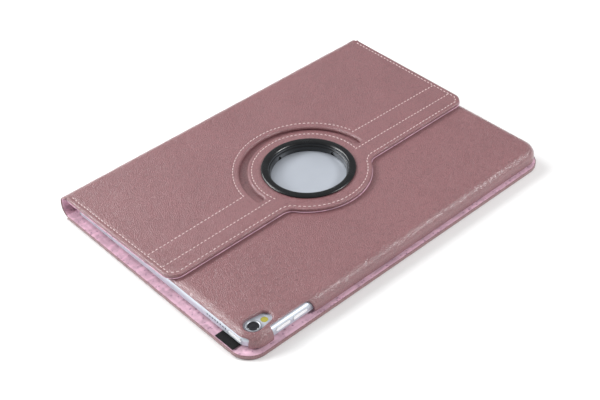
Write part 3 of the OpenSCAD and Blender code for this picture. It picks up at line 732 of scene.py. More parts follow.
def thread_finish(name, colour):
    """Twisted polyester thread with a slight shine and painted shade in the grooves of its twist."""
    f = Finish(name, colour, 0.5, sockets={"Sheen Weight": 0.2, "Sheen Roughness": 0.4})
    twist = f.waves(0.16 * MM, "DIAGONAL", None, 1.0)
    tone = f.blend(f.spread(f.noise(4 * MM, 2.0), 0.35, 0.65, 0.0, 1.0), f.tint(0.9), f.tint(1.05))
    # Painted shade: the grooves between the twisted strands are darkened.
    twist_shade = f.blend(f.spread(twist, 0.1, 0.6, 0.4, 0.0), tone, f.tint(0.72))
    f.bump(twist, 0.04 * MM, 0.7)
    return f.done(twist_shade, f.spread(twist, 0.0, 1.0, 0.6, 0.45))


def webbing_finish(name, colour):
    """Ribbed elastic: a close weave across the ribs."""
    soft = {"Sheen Weight": 0.06, "Sheen Roughness": 0.5, "Specular IOR Level": 0.25}
    f = Finish(name, colour, 0.8, sockets=soft)
    weft = f.waves(0.5 * MM, "X")
    hairs = f.noise(0.3 * MM, 3.0)
    tone = f.blend(weft, f.tint(0.6), f.tint(2.4))
    dusty = f.blend(f.spread(hairs, 0.55, 0.8, 0.0, 0.3), tone, (0.03, 0.028, 0.03, 1))
    f.bump(f.sum(weft, hairs, 0.6), 0.09 * MM, 0.8)
    return f.done(dusty, f.spread(hairs, 0.3, 0.7, 0.72, 0.92))


def metal_finish(name, colour, roughness=0.34, grit=0.12, metallic=1.0):
    """Bead-blasted and anodised metal."""
    f = Finish(name, colour, roughness, metallic)
    blasted = f.noise(grit * MM, 2.0)
    cloudy = f.noise(35 * MM, 2.0)
    wear = f.noise(1.6 * MM, 5.0)
    tone = f.blend(f.spread(cloudy, 0.35, 0.65, 0.0, 1.0), f.tint(0.96), f.tint(1.03))
    f.bump(blasted, 0.006 * MM, 0.6)
    return f.done(tone, f.spread(f.sum(blasted, wear, 0.6), 0.5, 1.1, roughness - 0.05, roughness + 0.08))


def plastic_finish(name, colour, roughness=0.28, coat=0.3, texture=0.25):
    """Moulded plastic with the faint texture of its tool and some handling marks."""
    f = Finish(name, colour, roughness, sockets={"Coat Weight": coat, "Coat Roughness": 0.12})
    spark = f.noise(texture * MM, 3.0)
    smear = f.noise(9 * MM, 4.0, f.stretched((1.0, 0.35, 1.0)))
    tone = f.blend(f.spread(smear, 0.35, 0.65, 0.0, 1.0), f.tint(0.85), f.tint(1.35))
    f.bump(spark, 0.012 * MM, 0.6)
    return f.done(tone, f.spread(f.sum(spark, smear, 1.2), 0.7, 1.5, roughness - 0.05, roughness + 0.14))


def glass_finish(name, colour, roughness=0.04):
    """Dark coated glass with faint smudges."""
    f = Finish(name, colour, roughness, sockets={"Coat Weight": 0.8, "Coat Roughness": 0.02, "IOR": 1.52})
    smudge = f.noise(12 * MM, 5.0, None, 0.8)
    dust = f.noise(0.5 * MM, 2.0)
    tone = f.blend(f.spread(smudge, 0.4, 0.6, 0.0, 1.0), f.tint(0.9), f.tint(1.2))
    f.bump(smudge, 0.004 * MM, 0.3)
    return f.done(tone, f.spread(f.sum(smudge, dust, 0.3), 0.5, 0.8, roughness, roughness + 0.09))


def board_finish(name, colour):
    """Grey-brown pressed board with short fibres."""
    f = Finish(name, colour, 0.88)
    fibres = f.noise(0.9 * MM, 5.0, f.stretched((0.25, 1.0, 1.0)))
    lumps = f.noise(6 * MM, 3.0)
    tone = f.blend(f.spread(f.sum(fibres, lumps, 0.5), 0.5, 1.0, 0.0, 1.0), f.tint(0.75), f.tint(1.2))
    f.bump(fibres, 0.08 * MM, 0.7)
    return f.done(tone, f.spread(fibres, 0.3, 0.7, 0.8, 0.95))


def circuit_finish(name, colour):
    """Solder-masked circuit board: copper tracks show through as faint ridges."""
    f = Finish(name, colour, 0.35, sockets={"Coat Weight": 0.4, "Coat Roughness": 0.15})
    tracks = f.pebbles(2.2 * MM, None, "DISTANCE_TO_EDGE")
    speck = f.noise(0.8 * MM, 2.0)
    tone = f.blend(f.spread(tracks, 0.04, 0.09, 1.0, 0.0), f.tint(0.9), f.tint(1.9))
    f.bump(f.sum(tracks, speck, 0.2), 0.03 * MM, 0.5)
    return f.done(tone, f.spread(speck, 0.3, 0.7, 0.3, 0.45))


def film_finish(name, colour):
    """Polyimide film over copper."""
    f = Finish(name, colour, 0.3, sockets={"Coat Weight": 0.5, "Coat Roughness": 0.1})
    lines = f.waves(0.8 * MM, "X")
    haze = f.noise(3 * MM, 3.0)
    tone = f.blend(f.spread(lines, 0.3, 0.7, 0.0, 1.0), f.tint(0.8), f.tint(1.15))
    f.bump(f.sum(lines, haze, 0.5), 0.02 * MM, 0.5)
    return f.done(tone, f.spread(haze, 0.3, 0.7, 0.24, 0.4))


def foil_finish(name, colour):
    """Crinkled foil of a battery pouch."""
    f = Finish(name, colour, 0.4, 0.4)
    crinkle = f.noise(4 * MM, 5.0, None, 1.2)
    tone = f.blend(f.spread(crinkle, 0.35, 0.65, 0.0, 1.0), f.tint(0.8), f.tint(1.25))
    f.bump(crinkle, 0.15 * MM, 0.6)
    return f.done(tone, f.spread(crinkle, 0.3, 0.7, 0.32, 0.5))


# ---- Lines of the flap, in millimetres ----

FOLD_Y = FLAP_HIGH[1]
FLAP_TOP = FLAP_HIGH[2]
RING_R = RING_HIGH[0]
DISC_R = RING_R + 9
BULGE_R = -FLAP_LOW[1]
FLAP_FREE = 20.4
FLAP_CORNER = 9
FLAP_FLARE = 1.4
BAND_BACK = 6.6
BAND_FRONT = 8.0
SLOT_PAST = 1
HOLLOW_R = 9
STITCH_IN = 2.9
SLOT_STITCH = 4.2
DISC_STITCH = 3.0
FIELD_LOW = (-131, -43)
FIELD_HIGH = (131, FOLD_Y)


def flap_outline(i=0.0, steps=24):
    """Outline of the flap drawn in by i: round free corners, two hollows and the disc's bulge."""
    hs = FLAP_HIGH[0] - i
    hf = hs - FLAP_FLARE
    r = FLAP_CORNER - i
    y0 = -FLAP_FREE + i
    rb = BULGE_R - i
    f = HOLLOW_R + i
    fy = y0 - f
    fx = math.sqrt((rb + f) ** 2 - fy**2)
    b = math.degrees(math.atan2(-fy, fx))
    return [
        *arc((-hf + r, y0 + r), r, 180, 270, 12),
        *arc((-fx, fy), f, 90, b, 12),
        *arc((0, 0), rb, 180 + b, 360 - b, 2 * steps),
        *arc((fx, fy), f, 180 - b, 90, 12),
        *arc((hf - r, y0 + r), r, 270, 360, 12),
        (hs, FOLD_Y),
        (-hs, FOLD_Y),
    ]


def slot_outline(width, grow=0.0):
    """Outline of the curved slot behind the disc, made larger all round by grow."""
    outer = DISC_R + width + grow
    mid = DISC_R + width / 2
    a0, a1 = -SLOT_PAST, 180 + SLOT_PAST
    ends = [(mid * math.cos(math.radians(a)), mid * math.sin(math.radians(a))) for a in (a0, a1)]
    return [
        *arc((0, 0), outer, a0, a1, 72),
        *arc(ends[1], width / 2 + grow, a1, a1 + 180, 10),
        *arc((0, 0), DISC_R - grow, a1, a0, 64),
        *arc(ends[0], width / 2 + grow, a0 - 180, a0, 10),
    ]


def meet(r, y):
    """Angle in degrees at which a circle of radius r crosses the height y."""
    return math.degrees(math.asin(y / r))


def flap_seams(band_pitch, edge_pitch, slot_w):
    """Sewing lines of the flap: two along the band, one along the free edge and one on each short side."""
    side = FLAP_HIGH[0] - FLAP_FLARE - STITCH_IN
    r1, r2 = DISC_R + slot_w + SLOT_STITCH, DISC_R - DISC_STITCH
    a1 = meet(r1, BAND_BACK)
    upper = [(side, BAND_BACK), *arc((0, 0), r1, a1, 180 - a1, 60), (-side, BAND_BACK)]
    a2 = meet(r2, -BAND_FRONT)
    lower = [(side, -BAND_FRONT), *arc((0, 0), r2, a2, 180 - a2, 60), (-side, -BAND_FRONT)]
    edge = flap_outline(STITCH_IN)[:-2]
    top = side + FLAP_FLARE * 0.9
    free = [(-top, FOLD_Y - 2), *edge, (top, FOLD_Y - 2)]
    return [(upper, band_pitch, False), (lower, band_pitch, False), (free, edge_pitch, False)]


# ---- Operators ----


def settings(context):
    """The scene's sizes and colours of the folio."""
    return context.scene.folio_sizes, context.scene.folio_colours


class FOLIO_OT_flap(bpy.types.Operator):
    """Back flap: turned leather over its boards, felt underneath, and its sewn lines"""

    bl_idname = "folio.flap"
    bl_label = "Back flap"

    def execute(self, context):
        sizes, colours = settings(context)
        t, e = sizes.leather_t / MM, sizes.turn_r / MM
        step, depth = sizes.mesh_step / MM, sizes.seam_depth / MM
        slot_w = sizes.slot_w / MM
        seams = flap_seams(sizes.band_pitch / MM, sizes.edge_pitch / MM, slot_w)
        leather = leather_finish("case leather", colours.leather, sizes.grain)
        hole = BUSH_HIGH[0] + 0.05
        loops = [
            split_long(flap_outline(), step),
            slot_outline(slot_w),
            arc((0, 0), hole, 0, 360, 96),
        ]
        high = FLAP_TOP - FLAP_LOW[2]

        def face(points):
            pull = seam_relief(points, seams, depth)
            near, _ = path_distance(points, [(-200, FOLD_Y), (200, FOLD_Y)])
            calm = np.clip(near / 12, 0, 1)
            swell = unevenness(points, 22, 0.09, 3.1) + unevenness(points, 7, 0.03, 8.7)
            return FLAP_TOP - np.maximum(pull, -0.05) - 0.06 * calm + swell * calm

        def place(points, down):
            z = face(points)
            return np.stack([points[:, 0], points[:, 1], z - down], 1)

        def ease(points):
            return turned_share(points, FOLD_Y)

        edge = [(e, 0), (e * 0.5, 0.09), (e * 0.15, 0.33), (0, 0.75), (0, high - 0.35), (0.12, high - 0.1),
                (0.35, high), (t, high), (t + 0.05, t + 0.3), (e, t)]
        soft = [(1.5, 0), (1.1, 0.07), (0.7, 0.26), (0.35, 0.6), (0.1, 1.1), (0, high - 0.4),
                (0.1, high - 0.1), (0.35, high), (t, high), (t + 0.05, t + 0.3), (1.5, t)]
        rim = [edge, soft, edge]
        field = field_with_seams(FIELD_LOW, FIELD_HIGH, step, seams, sizes.seed)
        v, f = skin(loops, field, rim, place, ease)
        put("flap_skin", v, f, leather, "back_flap", ["flap_leather"])
        # The thin felt is the lining's colour made 15% lighter: a painted highlight, a lit copy of the
        # lining.
        felt = felt_finish("thin felt", [min(1.0, c * 1.15) for c in colours.lining])
        thick = FELT_HIGH[2] - FELT_LOW[2]
        inner = [
            split_long(flap_outline(-0.28), step),
            slot_outline(slot_w, 1.1),
            arc((0, 0), WASHER_HIGH[0] + 0.05, 0, 360, 96),
        ]

        def under(points, down):
            z = FELT_LOW[2] + down + 0.04 * unevenness(points, 9, 1.0, 5.5)
            return np.stack([points[:, 0], points[:, 1], z], 1)

        rim = [(0.3, 0), (0.1, 0.04), (0, 0.14), (0, thick - 0.06), (0.3, thick - 0.05)]
        v, f = skin(inner, hex_points(FIELD_LOW, FIELD_HIGH, step * 1.6, 3), rim, under)
        put("flap_felt", v, f, felt, "back_flap", ["flap_lining"])
        thread = thread_finish("seam thread", colours.thread)
        r = sizes.thread_r / MM
        rows = [stitch_row(p, n, r, face, 1, c, seed=k) for k, (p, n, c) in enumerate(seams)]
        v, f = merge(rows)
        put("flap_stitches", v, f, thread, "back_flap")
        return {"FINISHED"}


TRAY_CORNER = 12.2
WRAP_Y = TRAY_HIGH[1] - 5
FOLD_Z = TRAY_HIGH[2] - 2.6
VOLUME_SPARE = 3.2
VOLUME_DEEP = -TRAY_HIGH[1] + 3.7
CAMERA_CUT_R = 5.85
FLASH_CUT_R = 4.5
LIP_IN = 3.6


def tray_map():
    """The tray in plan: radius of its top edge, rest of its corner radius, and the corners' centre."""
    edge = bpy.context.scene.folio_sizes.tray_edge / MM
    return edge, TRAY_CORNER - edge, TRAY_HIGH[0] - TRAY_CORNER, TRAY_HIGH[1] - TRAY_CORNER


def unroll(x, y, z):
    """Flat place of a point on the tray's rounded side."""
    edge, core, cx, cy = tray_map()
    base = Vector((max(-cx, min(cx, x)), max(-cy, min(cy, y))))
    out = Vector((x, y)) - base
    reach = out.length
    if reach <= core:
        return (x, y)
    off = min(reach - core, edge)
    turn = edge * math.pi / 2
    knee = TRAY_HIGH[2] - edge
    d = turn + knee - z if z < knee else edge * math.acos(max(0.0, 1 - (TRAY_HIGH[2] - z) / edge))
    if z >= knee and off < edge * 0.98:
        d = edge * math.asin(off / edge)
    q = base + out / reach * (core + d)
    return (q.x, q.y)


def roll_over(points, down, lumps):
    """Lays flat points over the tray: level on top, round the edge and down its side."""
    edge, core, cx, cy = tray_map()
    base = np.stack([np.clip(points[:, 0], -cx, cx), np.clip(points[:, 1], -cy, cy)], 1)
    out = points - base
    reach = np.linalg.norm(out, axis=1)
    way = out / np.maximum(reach, 1e-9)[:, None]
    d = np.maximum(reach - core, 0)
    turn = np.minimum(d / edge, math.pi / 2)
    side = edge * np.sin(turn)
    drop = edge * (1 - np.cos(turn)) + np.maximum(d - edge * math.pi / 2, 0)
    level = np.minimum(reach, core)
    flat = base + way * (level + side)[:, None]
    down = down - lumps
    flat -= way * (np.sin(turn) * down)[:, None]
    z = TRAY_HIGH[2] - drop - np.cos(turn) * down
    return np.stack([flat[:, 0], flat[:, 1], z], 1)


def surface_x(y, z):
    """Half length of the tray's surface at y and height z."""
    edge, core, cx, cy = tray_map()
    knee = TRAY_HIGH[2] - edge
    off = edge if z < knee else math.sqrt(max(0.0, edge**2 - (z - knee) ** 2))
    over = max(0.0, abs(y) - cy)
    return cx + math.sqrt(max(0.0, (core + off) ** 2 - over**2))


def tray_outline(step):
    """Flat outline of the tray's skin, with its open short sides and the cut-out at the volume keys."""
    low = TRAY_LOW[2]
    edge, core, cx, cy = tray_map()
    far = core + edge * math.pi / 2 + (TRAY_HIGH[2] - edge - low)
    x0 = VOLUME_LOW[0] - VOLUME_SPARE + 0.5
    x1 = VOLUME_HIGH[0] + VOLUME_SPARE - 0.5
    angle = math.degrees(math.asin((WRAP_Y - cy) / TRAY_CORNER))

    def corner(sx, sy, toward_side):
        """Wrapped corner: from the opening of the short side to the long side, or back."""
        pts = [(sx * (cx + x), sy * (cy + y)) for x, y in arc((0, 0), far, angle, 90, 18)]
        return pts if toward_side else pts[::-1]

    def opening(s):
        """Open short side: up the wrap, along the fold and down the other wrap."""
        y0 = -s * WRAP_Y
        turn = WRAP_Y - cy
        ys = [WRAP_Y - turn * k / 5 for k in range(6)]
        ys = [math.copysign(y, y0) for y in ys] + [math.copysign(y, -y0) for y in reversed(ys)]
        fold = [unroll(s * surface_x(y, FOLD_Z), y, FOLD_Z) for y in ys]
        wrap = [unroll(s * surface_x(y0, z), y0, z) for z in (low, (low + FOLD_Z) / 2)]
        run = [*wrap, *round_corner(wrap[1], fold[0], fold[2], 2.0, 6), *fold[3:-3]]
        back = [(x, -y) for x, y in reversed(wrap)]
        return [*run, *round_corner(fold[-3], fold[-1], back[0], 2.0, 6), *back]

    # The long side at -Y, from -X to +X, with the cut-out
    edge_y = -(cy + far)
    top_y = unroll(0, VOLUME_DEEP, TRAY_HIGH[2])[1]
    slant = 2.0
    cut = [(x0, edge_y), (x0, top_y), (x1, top_y), (x1 + slant, edge_y)]
    loop = [cut[0], *round_corner(cut[0], cut[1], cut[2], 1.6)]
    loop += [*round_corner(cut[1], cut[2], cut[3], 3.2), cut[3]]
    loop += corner(1, -1, False)
    loop += opening(1)
    loop += corner(1, 1, True)
    loop += corner(-1, 1, False)
    loop += opening(-1)
    loop += corner(-1, -1, True)
    return split_long(soften(loop, 1.3), step)


class FOLIO_OT_tray(bpy.types.Operator):
    """Tray: moulded shell covered in leather with turned edges, and the lip that holds the tablet"""

    bl_idname = "folio.tray"
    bl_label = "Tray"

    def execute(self, context):
        sizes, _ = settings(context)
        step, wall, e = sizes.mesh_step / MM, sizes.tray_wall / MM, 0.7
        leather = bpy.data.materials["case leather"]
        mid_x = (CAMERA_LOW[0] + CAMERA_HIGH[0] + FLASH_LOW[0] + FLASH_HIGH[0]) / 4
        mid_y = (CAMERA_LOW[1] + CAMERA_HIGH[1]) / 2
        half = (FLASH_LOW[0] + FLASH_HIGH[0] - CAMERA_LOW[0] - CAMERA_HIGH[0]) / 4
        pill = [
            *arc((mid_x + half, mid_y), FLASH_CUT_R, -80, 80, 18),
            *arc((mid_x - half, mid_y), CAMERA_CUT_R, 80, 280, 22),
        ]
        window = [unroll(x, y, TRAY_HIGH[2]) for x, y in split_long(pill, 2)]
        loops = [tray_outline(step * 0.7), window, arc((0, 0), HUB_HIGH[0] + 0.05, 0, 360, 96)]
        reach = (TRAY_HIGH[0] + 10, TRAY_HIGH[1] + 10)

        def place(points, down):
            lumps = unevenness(points, 26, 0.07, 1.7) + unevenness(points, 8, 0.03, 6.2)
            deep = np.clip(down / wall, 0, 1)
            return roll_over(points, down, (lumps - 0.06) * (1 - deep))

        edge = [(e, 0), (e * 0.5, 0.08), (e * 0.14, 0.28), (0, e * 0.9), (0, wall - 0.5),
                (0.08, wall - 0.22), (0.3, wall), (e, wall)]
        soft = [(1.3, 0), (0.9, 0.06), (0.5, 0.24), (0.18, 0.6), (0, 1.1), (0, wall + 0.2),
                (0.08, wall + 0.34), (0.24, wall + 0.34), (0.3, wall), (1.3, wall)]
        rim = [edge, soft, edge]
        field = hex_points((-reach[0], -reach[1]), reach, step * 0.85, sizes.seed + 1)
        v, f = skin(loops, field, rim, place)
        put("tray_skin", v, f, leather, "tray", ["tray_leather", "tray_shell"])
        self.lip(leather, wall)
        return {"FINISHED"}

    def lip(self, leather, wall):
        """Narrow lips under the long sides and the corners, which keep the tablet in."""
        _, _, cx, cy = tray_map()
        low, high = TRAY_LOW[2], TABLET_LOW[2] - 0.03
        outer, inner = TRAY_CORNER - wall - 0.02, TRAY_CORNER - LIP_IN
        x0, x1 = VOLUME_LOW[0] - VOLUME_SPARE, VOLUME_HIGH[0] + VOLUME_SPARE + 2
        start = math.degrees(math.asin((WRAP_Y - cy) / outer)) + 2
        section = [(0, 0.2), (0.2, 0), (0.8, 0), (1, 0.2), (1, 0.8), (0.8, 1), (0.2, 1), (0, 0.8)]

        def strip(stations):
            rows = []
            for (px, py), (nx, ny) in stations:
                row = []
                for s, h in section:
                    r = inner + (outer - inner) * s
                    row.append((px + nx * r, py + ny * r, low + (high - low) * h))
                rows.append(row)
            return tube_grid(rows)

        def turn(sx, sy, a0, a1):
            angles = [math.radians(a0 + (a1 - a0) * k / 14) for k in range(15)]
            return [((sx * cx, sy * cy), (sx * math.cos(a), sy * math.sin(a))) for a in angles]

        far_side = turn(1, 1, start, 90) + turn(-1, 1, 90, start)
        near_left = turn(-1, -1, start, 90) + [((x0, -cy), (0, -1))]
        near_right = [((x1, -cy), (0, -1))] + turn(1, -1, 90, start)
        v, f = merge([strip(far_side), strip(near_left), strip(near_right)])
        put("tray_lip", v, f, leather, "tray")


COVER_CORNER = 14
COVER_STITCH_IN = 3.6
FELT_SEAM_IN = 3.4
FELT_SEAM_PITCH = 3.0
STRAP_WAVE = 0.075


class FOLIO_OT_cover(bpy.types.Operator):
    """Front cover: leather turned over its board, a padded felt lining and the elastic strap"""

    bl_idname = "folio.cover"
    bl_label = "Front cover"

    def outline(self, i=0.0):
        """Outline of the cover drawn in by i, with round free corners."""
        r = COVER_CORNER - i
        lx, hx = COVER_LOW[0] + i, COVER_HIGH[0] - i
        ly = COVER_LOW[1] + i
        return [
            *arc((lx + r, ly + r), r, 180, 270, 20),
            *arc((hx - r, ly + r), r, 270, 360, 20),
            (hx, COVER_HIGH[1]),
            (lx, COVER_HIGH[1]),
        ]

    def execute(self, context):
        sizes, colours = settings(context)
        t, e, step = sizes.leather_t / MM, sizes.turn_r / MM, sizes.mesh_step / MM
        leather = bpy.data.materials["case leather"]
        thick = COVER_HIGH[2] - COVER_LOW[2]
        pitch = sizes.edge_pitch / MM
        line = self.outline(COVER_STITCH_IN)
        left, right = line[-1], line[-2]
        row = [(left[0], COVER_HIGH[1] - 1), *line[:-2], (right[0], COVER_HIGH[1] - 1)]
        seams = [(row, pitch, False)]

        def ease(points):
            return turned_share(points, COVER_HIGH[1])

        def face(points):
            pull = np.maximum(seam_relief(points, seams, sizes.seam_depth / MM), 0)
            return pull + 0.02 + unevenness(points, 24, 0.02, 4.4)

        def place(points, down):
            z = face(points) * np.clip(1 - down / thick, 0, 1) + down
            return np.stack([points[:, 0], points[:, 1], z], 1)

        rim = [(e, 0), (e * 0.5, 0.08), (e * 0.15, 0.3), (0, 0.7), (0.03, thick * 0.5), (0, thick - 0.6),
               (0.06, thick - 0.2), (0.2, thick - 0.02), (0.34, thick - 0.08), (0.42, thick - 0.5),
               (e, thick - 1.3), (e, t)]
        field = field_with_seams(COVER_LOW[:2], COVER_HIGH[:2], step * 1.3, seams, 5)
        v, f = skin([split_long(self.outline(), step)], field, rim, place, ease)
        put("cover_skin", v, f, leather, "front_cover", ["front_cover_leather"])
        thread = bpy.data.materials["seam thread"]
        v, f = stitch_row(row, pitch, sizes.thread_r / MM * 0.9, face, -1, seed=9)
        v = [(x, y, max(z, COVER_LOW[2] - 0.1)) for x, y, z in v]
        put("cover_stitches", v, f, thread, "front_cover")
        self.lining(colours, step)
        self.strap(sizes, colours)
        return {"FINISHED"}

    def lining(self, colours, step):
        """Padded felt with its seam, inside the cover."""
        felt = felt_finish("padded felt", colours.lining)
        top, low = LINING_HIGH[2], LINING_LOW[2]
        line = self.outline(FELT_SEAM_IN)
        row = [(line[-1][0], COVER_HIGH[1]), *line[:-2], (line[-2][0], COVER_HIGH[1])]
        seams = [(row, FELT_SEAM_PITCH, False)]

        def place(points, down):
            pull = np.maximum(seam_relief(points, seams, 0.3, 0.8), 0)
            waves = unevenness(points, 16, 0.16, 2.2) + unevenness(points, 5, 0.12, 7.9)
            ripple = np.abs(unevenness(points * np.array([0.5, 1.0]), 3.2, 0.12, 11.3))
            edge, _ = path_distance(points, self.outline(), True)
            calm = np.clip((edge - 1) / 3, 0, 1)
            z = top - 0.08 - pull + (waves - ripple) * calm
            return np.stack([points[:, 0], points[:, 1], np.maximum(z - down, low + 0.02)], 1)

        rim = [(0.45, 0), (0.2, 0.06), (0.05, 0.2), (0, 0.4), (0.05, 0.55), (0.45, 1.5)]
        field = field_with_seams(COVER_LOW[:2], COVER_HIGH[:2], step, seams, 6)
        v, f = skin([split_long(self.outline(0.46), step)], field, rim, place)
        put("cover_felt", v, f, felt, "front_cover", ["front_cover_lining"])

    def strap(self, sizes, colours):
        """Ribbed elastic strap across the cover, rounded at its sewn ends."""
        webbing = webbing_finish("ribbed elastic", colours.webbing)
        y0, y1 = STRAP_LOW[1], STRAP_HIGH[1]
        z0, z1 = STRAP_LOW[2], STRAP_HIGH[2]
        ribs = round((y1 - y0) / (sizes.rib_pitch / MM))
        n = ribs * 4
        across = [k / n for k in range(n + 1)]

        def section(x, squeeze):
            top, bottom = [], []
            for u in across:
                y = y0 + (y1 - y0) * u
                rim = min(1.0, min(u, 1 - u) * (y1 - y0) / 0.5)
                half = (z1 - z0) / 2 * squeeze * (0.45 + 0.55 * math.sqrt(rim))
                rib = 0.07 * math.cos(math.tau * u * ribs) * squeeze
                mid = (z0 + z1) / 2
                wave = STRAP_WAVE * math.sin(x * 0.11)
                top.append((x, y + wave, mid + half - 0.07 + rib))
                bottom.append((x, y + wave, mid - half + 0.02))
            return top + bottom[::-1]

        xs = [STRAP_LOW[0] + (STRAP_HIGH[0] - STRAP_LOW[0]) * k / 90 for k in range(91)]
        rows = [section(xs[0], 0.3), section(xs[0] + 0.15, 0.7), section(xs[0] + 0.5, 1.0)]
        rows += [section(x, 1.0) for x in xs[1:-1]]
        rows += [section(xs[-1] - 0.5, 1.0), section(xs[-1] - 0.15, 0.75), section(xs[-1], 0.35)]
        v, f = tube_grid(rows)
        put("ribbed_strap", v, f, webbing, "front_cover", ["elastic_strap"])


SPINE_STEPS = 14
SPINE_FELT_T = 0.4
WRINKLE = 0.28
WRINKLE_SEED = 2.5


class FOLIO_OT_spine(bpy.types.Operator):
    """Soft spine: leather and felt that bend round the two long folds"""

    bl_idname = "folio.spine"
    bl_label = "Spine"

    def section(self, inset, lower):
        """Half of the C section drawn in by inset: (y, z) with the outward direction at each point."""
        r = SPINE_HIGH[1] - FOLD_Y
        top = SPINE_HIGH[2]
        mid = top / 2
        pts = []
        for k in range(SPINE_STEPS + 1):
            a = math.pi / 2 * k / SPINE_STEPS
            ny, nz = math.sin(a), -math.cos(a)
            pts.append((FOLD_Y + (r - inset) * ny, r + (r - inset) * nz, ny, nz))
        pts.append((FOLD_Y + r - inset, (r + mid) / 2, 1.0, 0.0))
        pts.append((FOLD_Y + r - inset, mid, 1.0, 0.0))
        if lower:
            return pts
        return [(y, top - z, ny, -nz) for y, z, ny, nz in pts]

    def layer(self, inset, t, lower, overhang):
        """Closed sheet round the C, with its two open ends rounded and slightly uneven."""
        x0, x1 = SPINE_LOW[0] - overhang, SPINE_HIGH[0] + overhang
        section = self.section(inset, lower)
        n = 150
        xs = [x0 + (x1 - x0) * k / n for k in range(n + 1)]
        xs = [x0, x0 + 0.12, x0 + 0.4] + xs[1:-1] + [x1 - 0.4, x1 - 0.12, x1]
        shape = [0.0, 0.7, 1.0]
        outer, inner = [], []
        for i, x in enumerate(xs):
            squeeze = shape[min(i, 2)] * shape[min(len(xs) - 1 - i, 2)]
            row_out, row_in = [], []
            for j, (y, z, ny, nz) in enumerate(section):
                at_fold = math.sin(math.pi * min(1.0, j / SPINE_STEPS))
                w = noise.noise(Vector((x / 30, z / 4, WRINKLE_SEED))) * 0.6
                w += noise.noise(Vector((x / 9, z / 2.2, WRINKLE_SEED + 4))) * 0.4
                shift = WRINKLE * at_fold * (w - 0.35)
                mid = t / 2 - shift
                half = t / 2 * squeeze
                row_out.append((x, y - ny * (mid - half), z - nz * (mid - half)))
                row_in.append((x, y - ny * (mid + half), z - nz * (mid + half)))
            outer.append(row_out)
            inner.append(row_in)
        rows = [a + b[::-1] for a, b in zip(outer, inner)]
        return tube_grid(rows)

    def execute(self, context):
        sizes, _ = settings(context)
        leather = bpy.data.materials["case leather"]
        felt = bpy.data.materials["thin felt"]
        t = sizes.leather_t / MM
        spine_y, top = SPINE_HIGH[1], SPINE_HIGH[2]
        felt_in = spine_y - SPINE_FELT_HIGH[1] + 0.02
        for lower in (True, False):
            tag = "lower" if lower else "upper"
            made = []
            v, f = self.layer(0, t, lower, 0)
            made.append(put(f"spine_skin_{tag}", v, f, leather, None, ["spine_leather"]))
            v, f = self.layer(felt_in, SPINE_FELT_T, lower, -0.5)
            made.append(put(f"spine_felt_{tag}", v, f, felt, None, ["spine_lining"]))
            for obj in made:
                if lower:
                    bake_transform(obj)
                else:
                    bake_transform(obj)
        return {"FINISHED"}


WINDOW_R = 24.4
LINER_R = 26.3
CATCH_DEEP = 1.1
CATCH_HIGH = 2.6


class FOLIO_OT_swivel(bpy.types.Operator):
    """Swivel: glossy ring with a bevelled rim, a stepped bore and four small catches"""

    bl_idname = "folio.swivel"
    bl_label = "Swivel"

    def execute(self, context):
        _, colours = settings(context)
        gloss = plastic_finish("swivel plastic", colours.plastic, 0.2, 0.1)
        low, high = RING_LOW[2], RING_HIGH[2]
        seat = HUB_HIGH[2]
        profile = [
            # The window's foot and the liner, up to its seat on the hub
            (WINDOW_R, low + 0.25), (WINDOW_R + 0.2, low), (LINER_R - 0.2, low), (LINER_R, low + 0.2),
            (LINER_R, seat),
            # The rounded rim
            (RING_R - 0.15, seat), (RING_R, seat + 0.12), (RING_R, seat + 0.34),
            (RING_R - 0.1, seat + 0.55), (RING_R - 0.4, high - 0.22), (RING_R - 0.95, high - 0.05),
            (RING_R - 1.4, high), (27.4, high),
            # The rounded edge of the bore and its step
            (26.9, high - 0.04), (26.45, high - 0.2), (26.05, high - 0.55), (25.75, high - 1.0),
            (25.6, high - 2.0), (25.55, high - 2.3), (25.1, high - 2.55), (25.0, high - 2.8),
            # The bore's slightly tapered wall
            (24.85, low + 3.0), (24.75, low + 2.4), (24.68, low + 1.8), (24.6, low + 1.2),
            (24.5, low + 0.7),
        ]

        def shape(r, z, a):
            """Cuts the four catches' windows into the wall of the bore."""
            off = abs(math.degrees(a) % 90 - 8)
            rise = z - low
            wide = 3.4 * max(0.0, 1 - rise / CATCH_HIGH)
            if r < 25.0 and 0.2 < rise < 2.5 and off < wide + 0.1:
                return r + CATCH_DEEP, z
            return r, z

        v, f = turned_ring(profile, 288, (0, 0), shape)
        put("bevelled_ring", v, f, gloss, "tray", ["swivel_ring"], sharp=30)
        return {"FINISHED"}


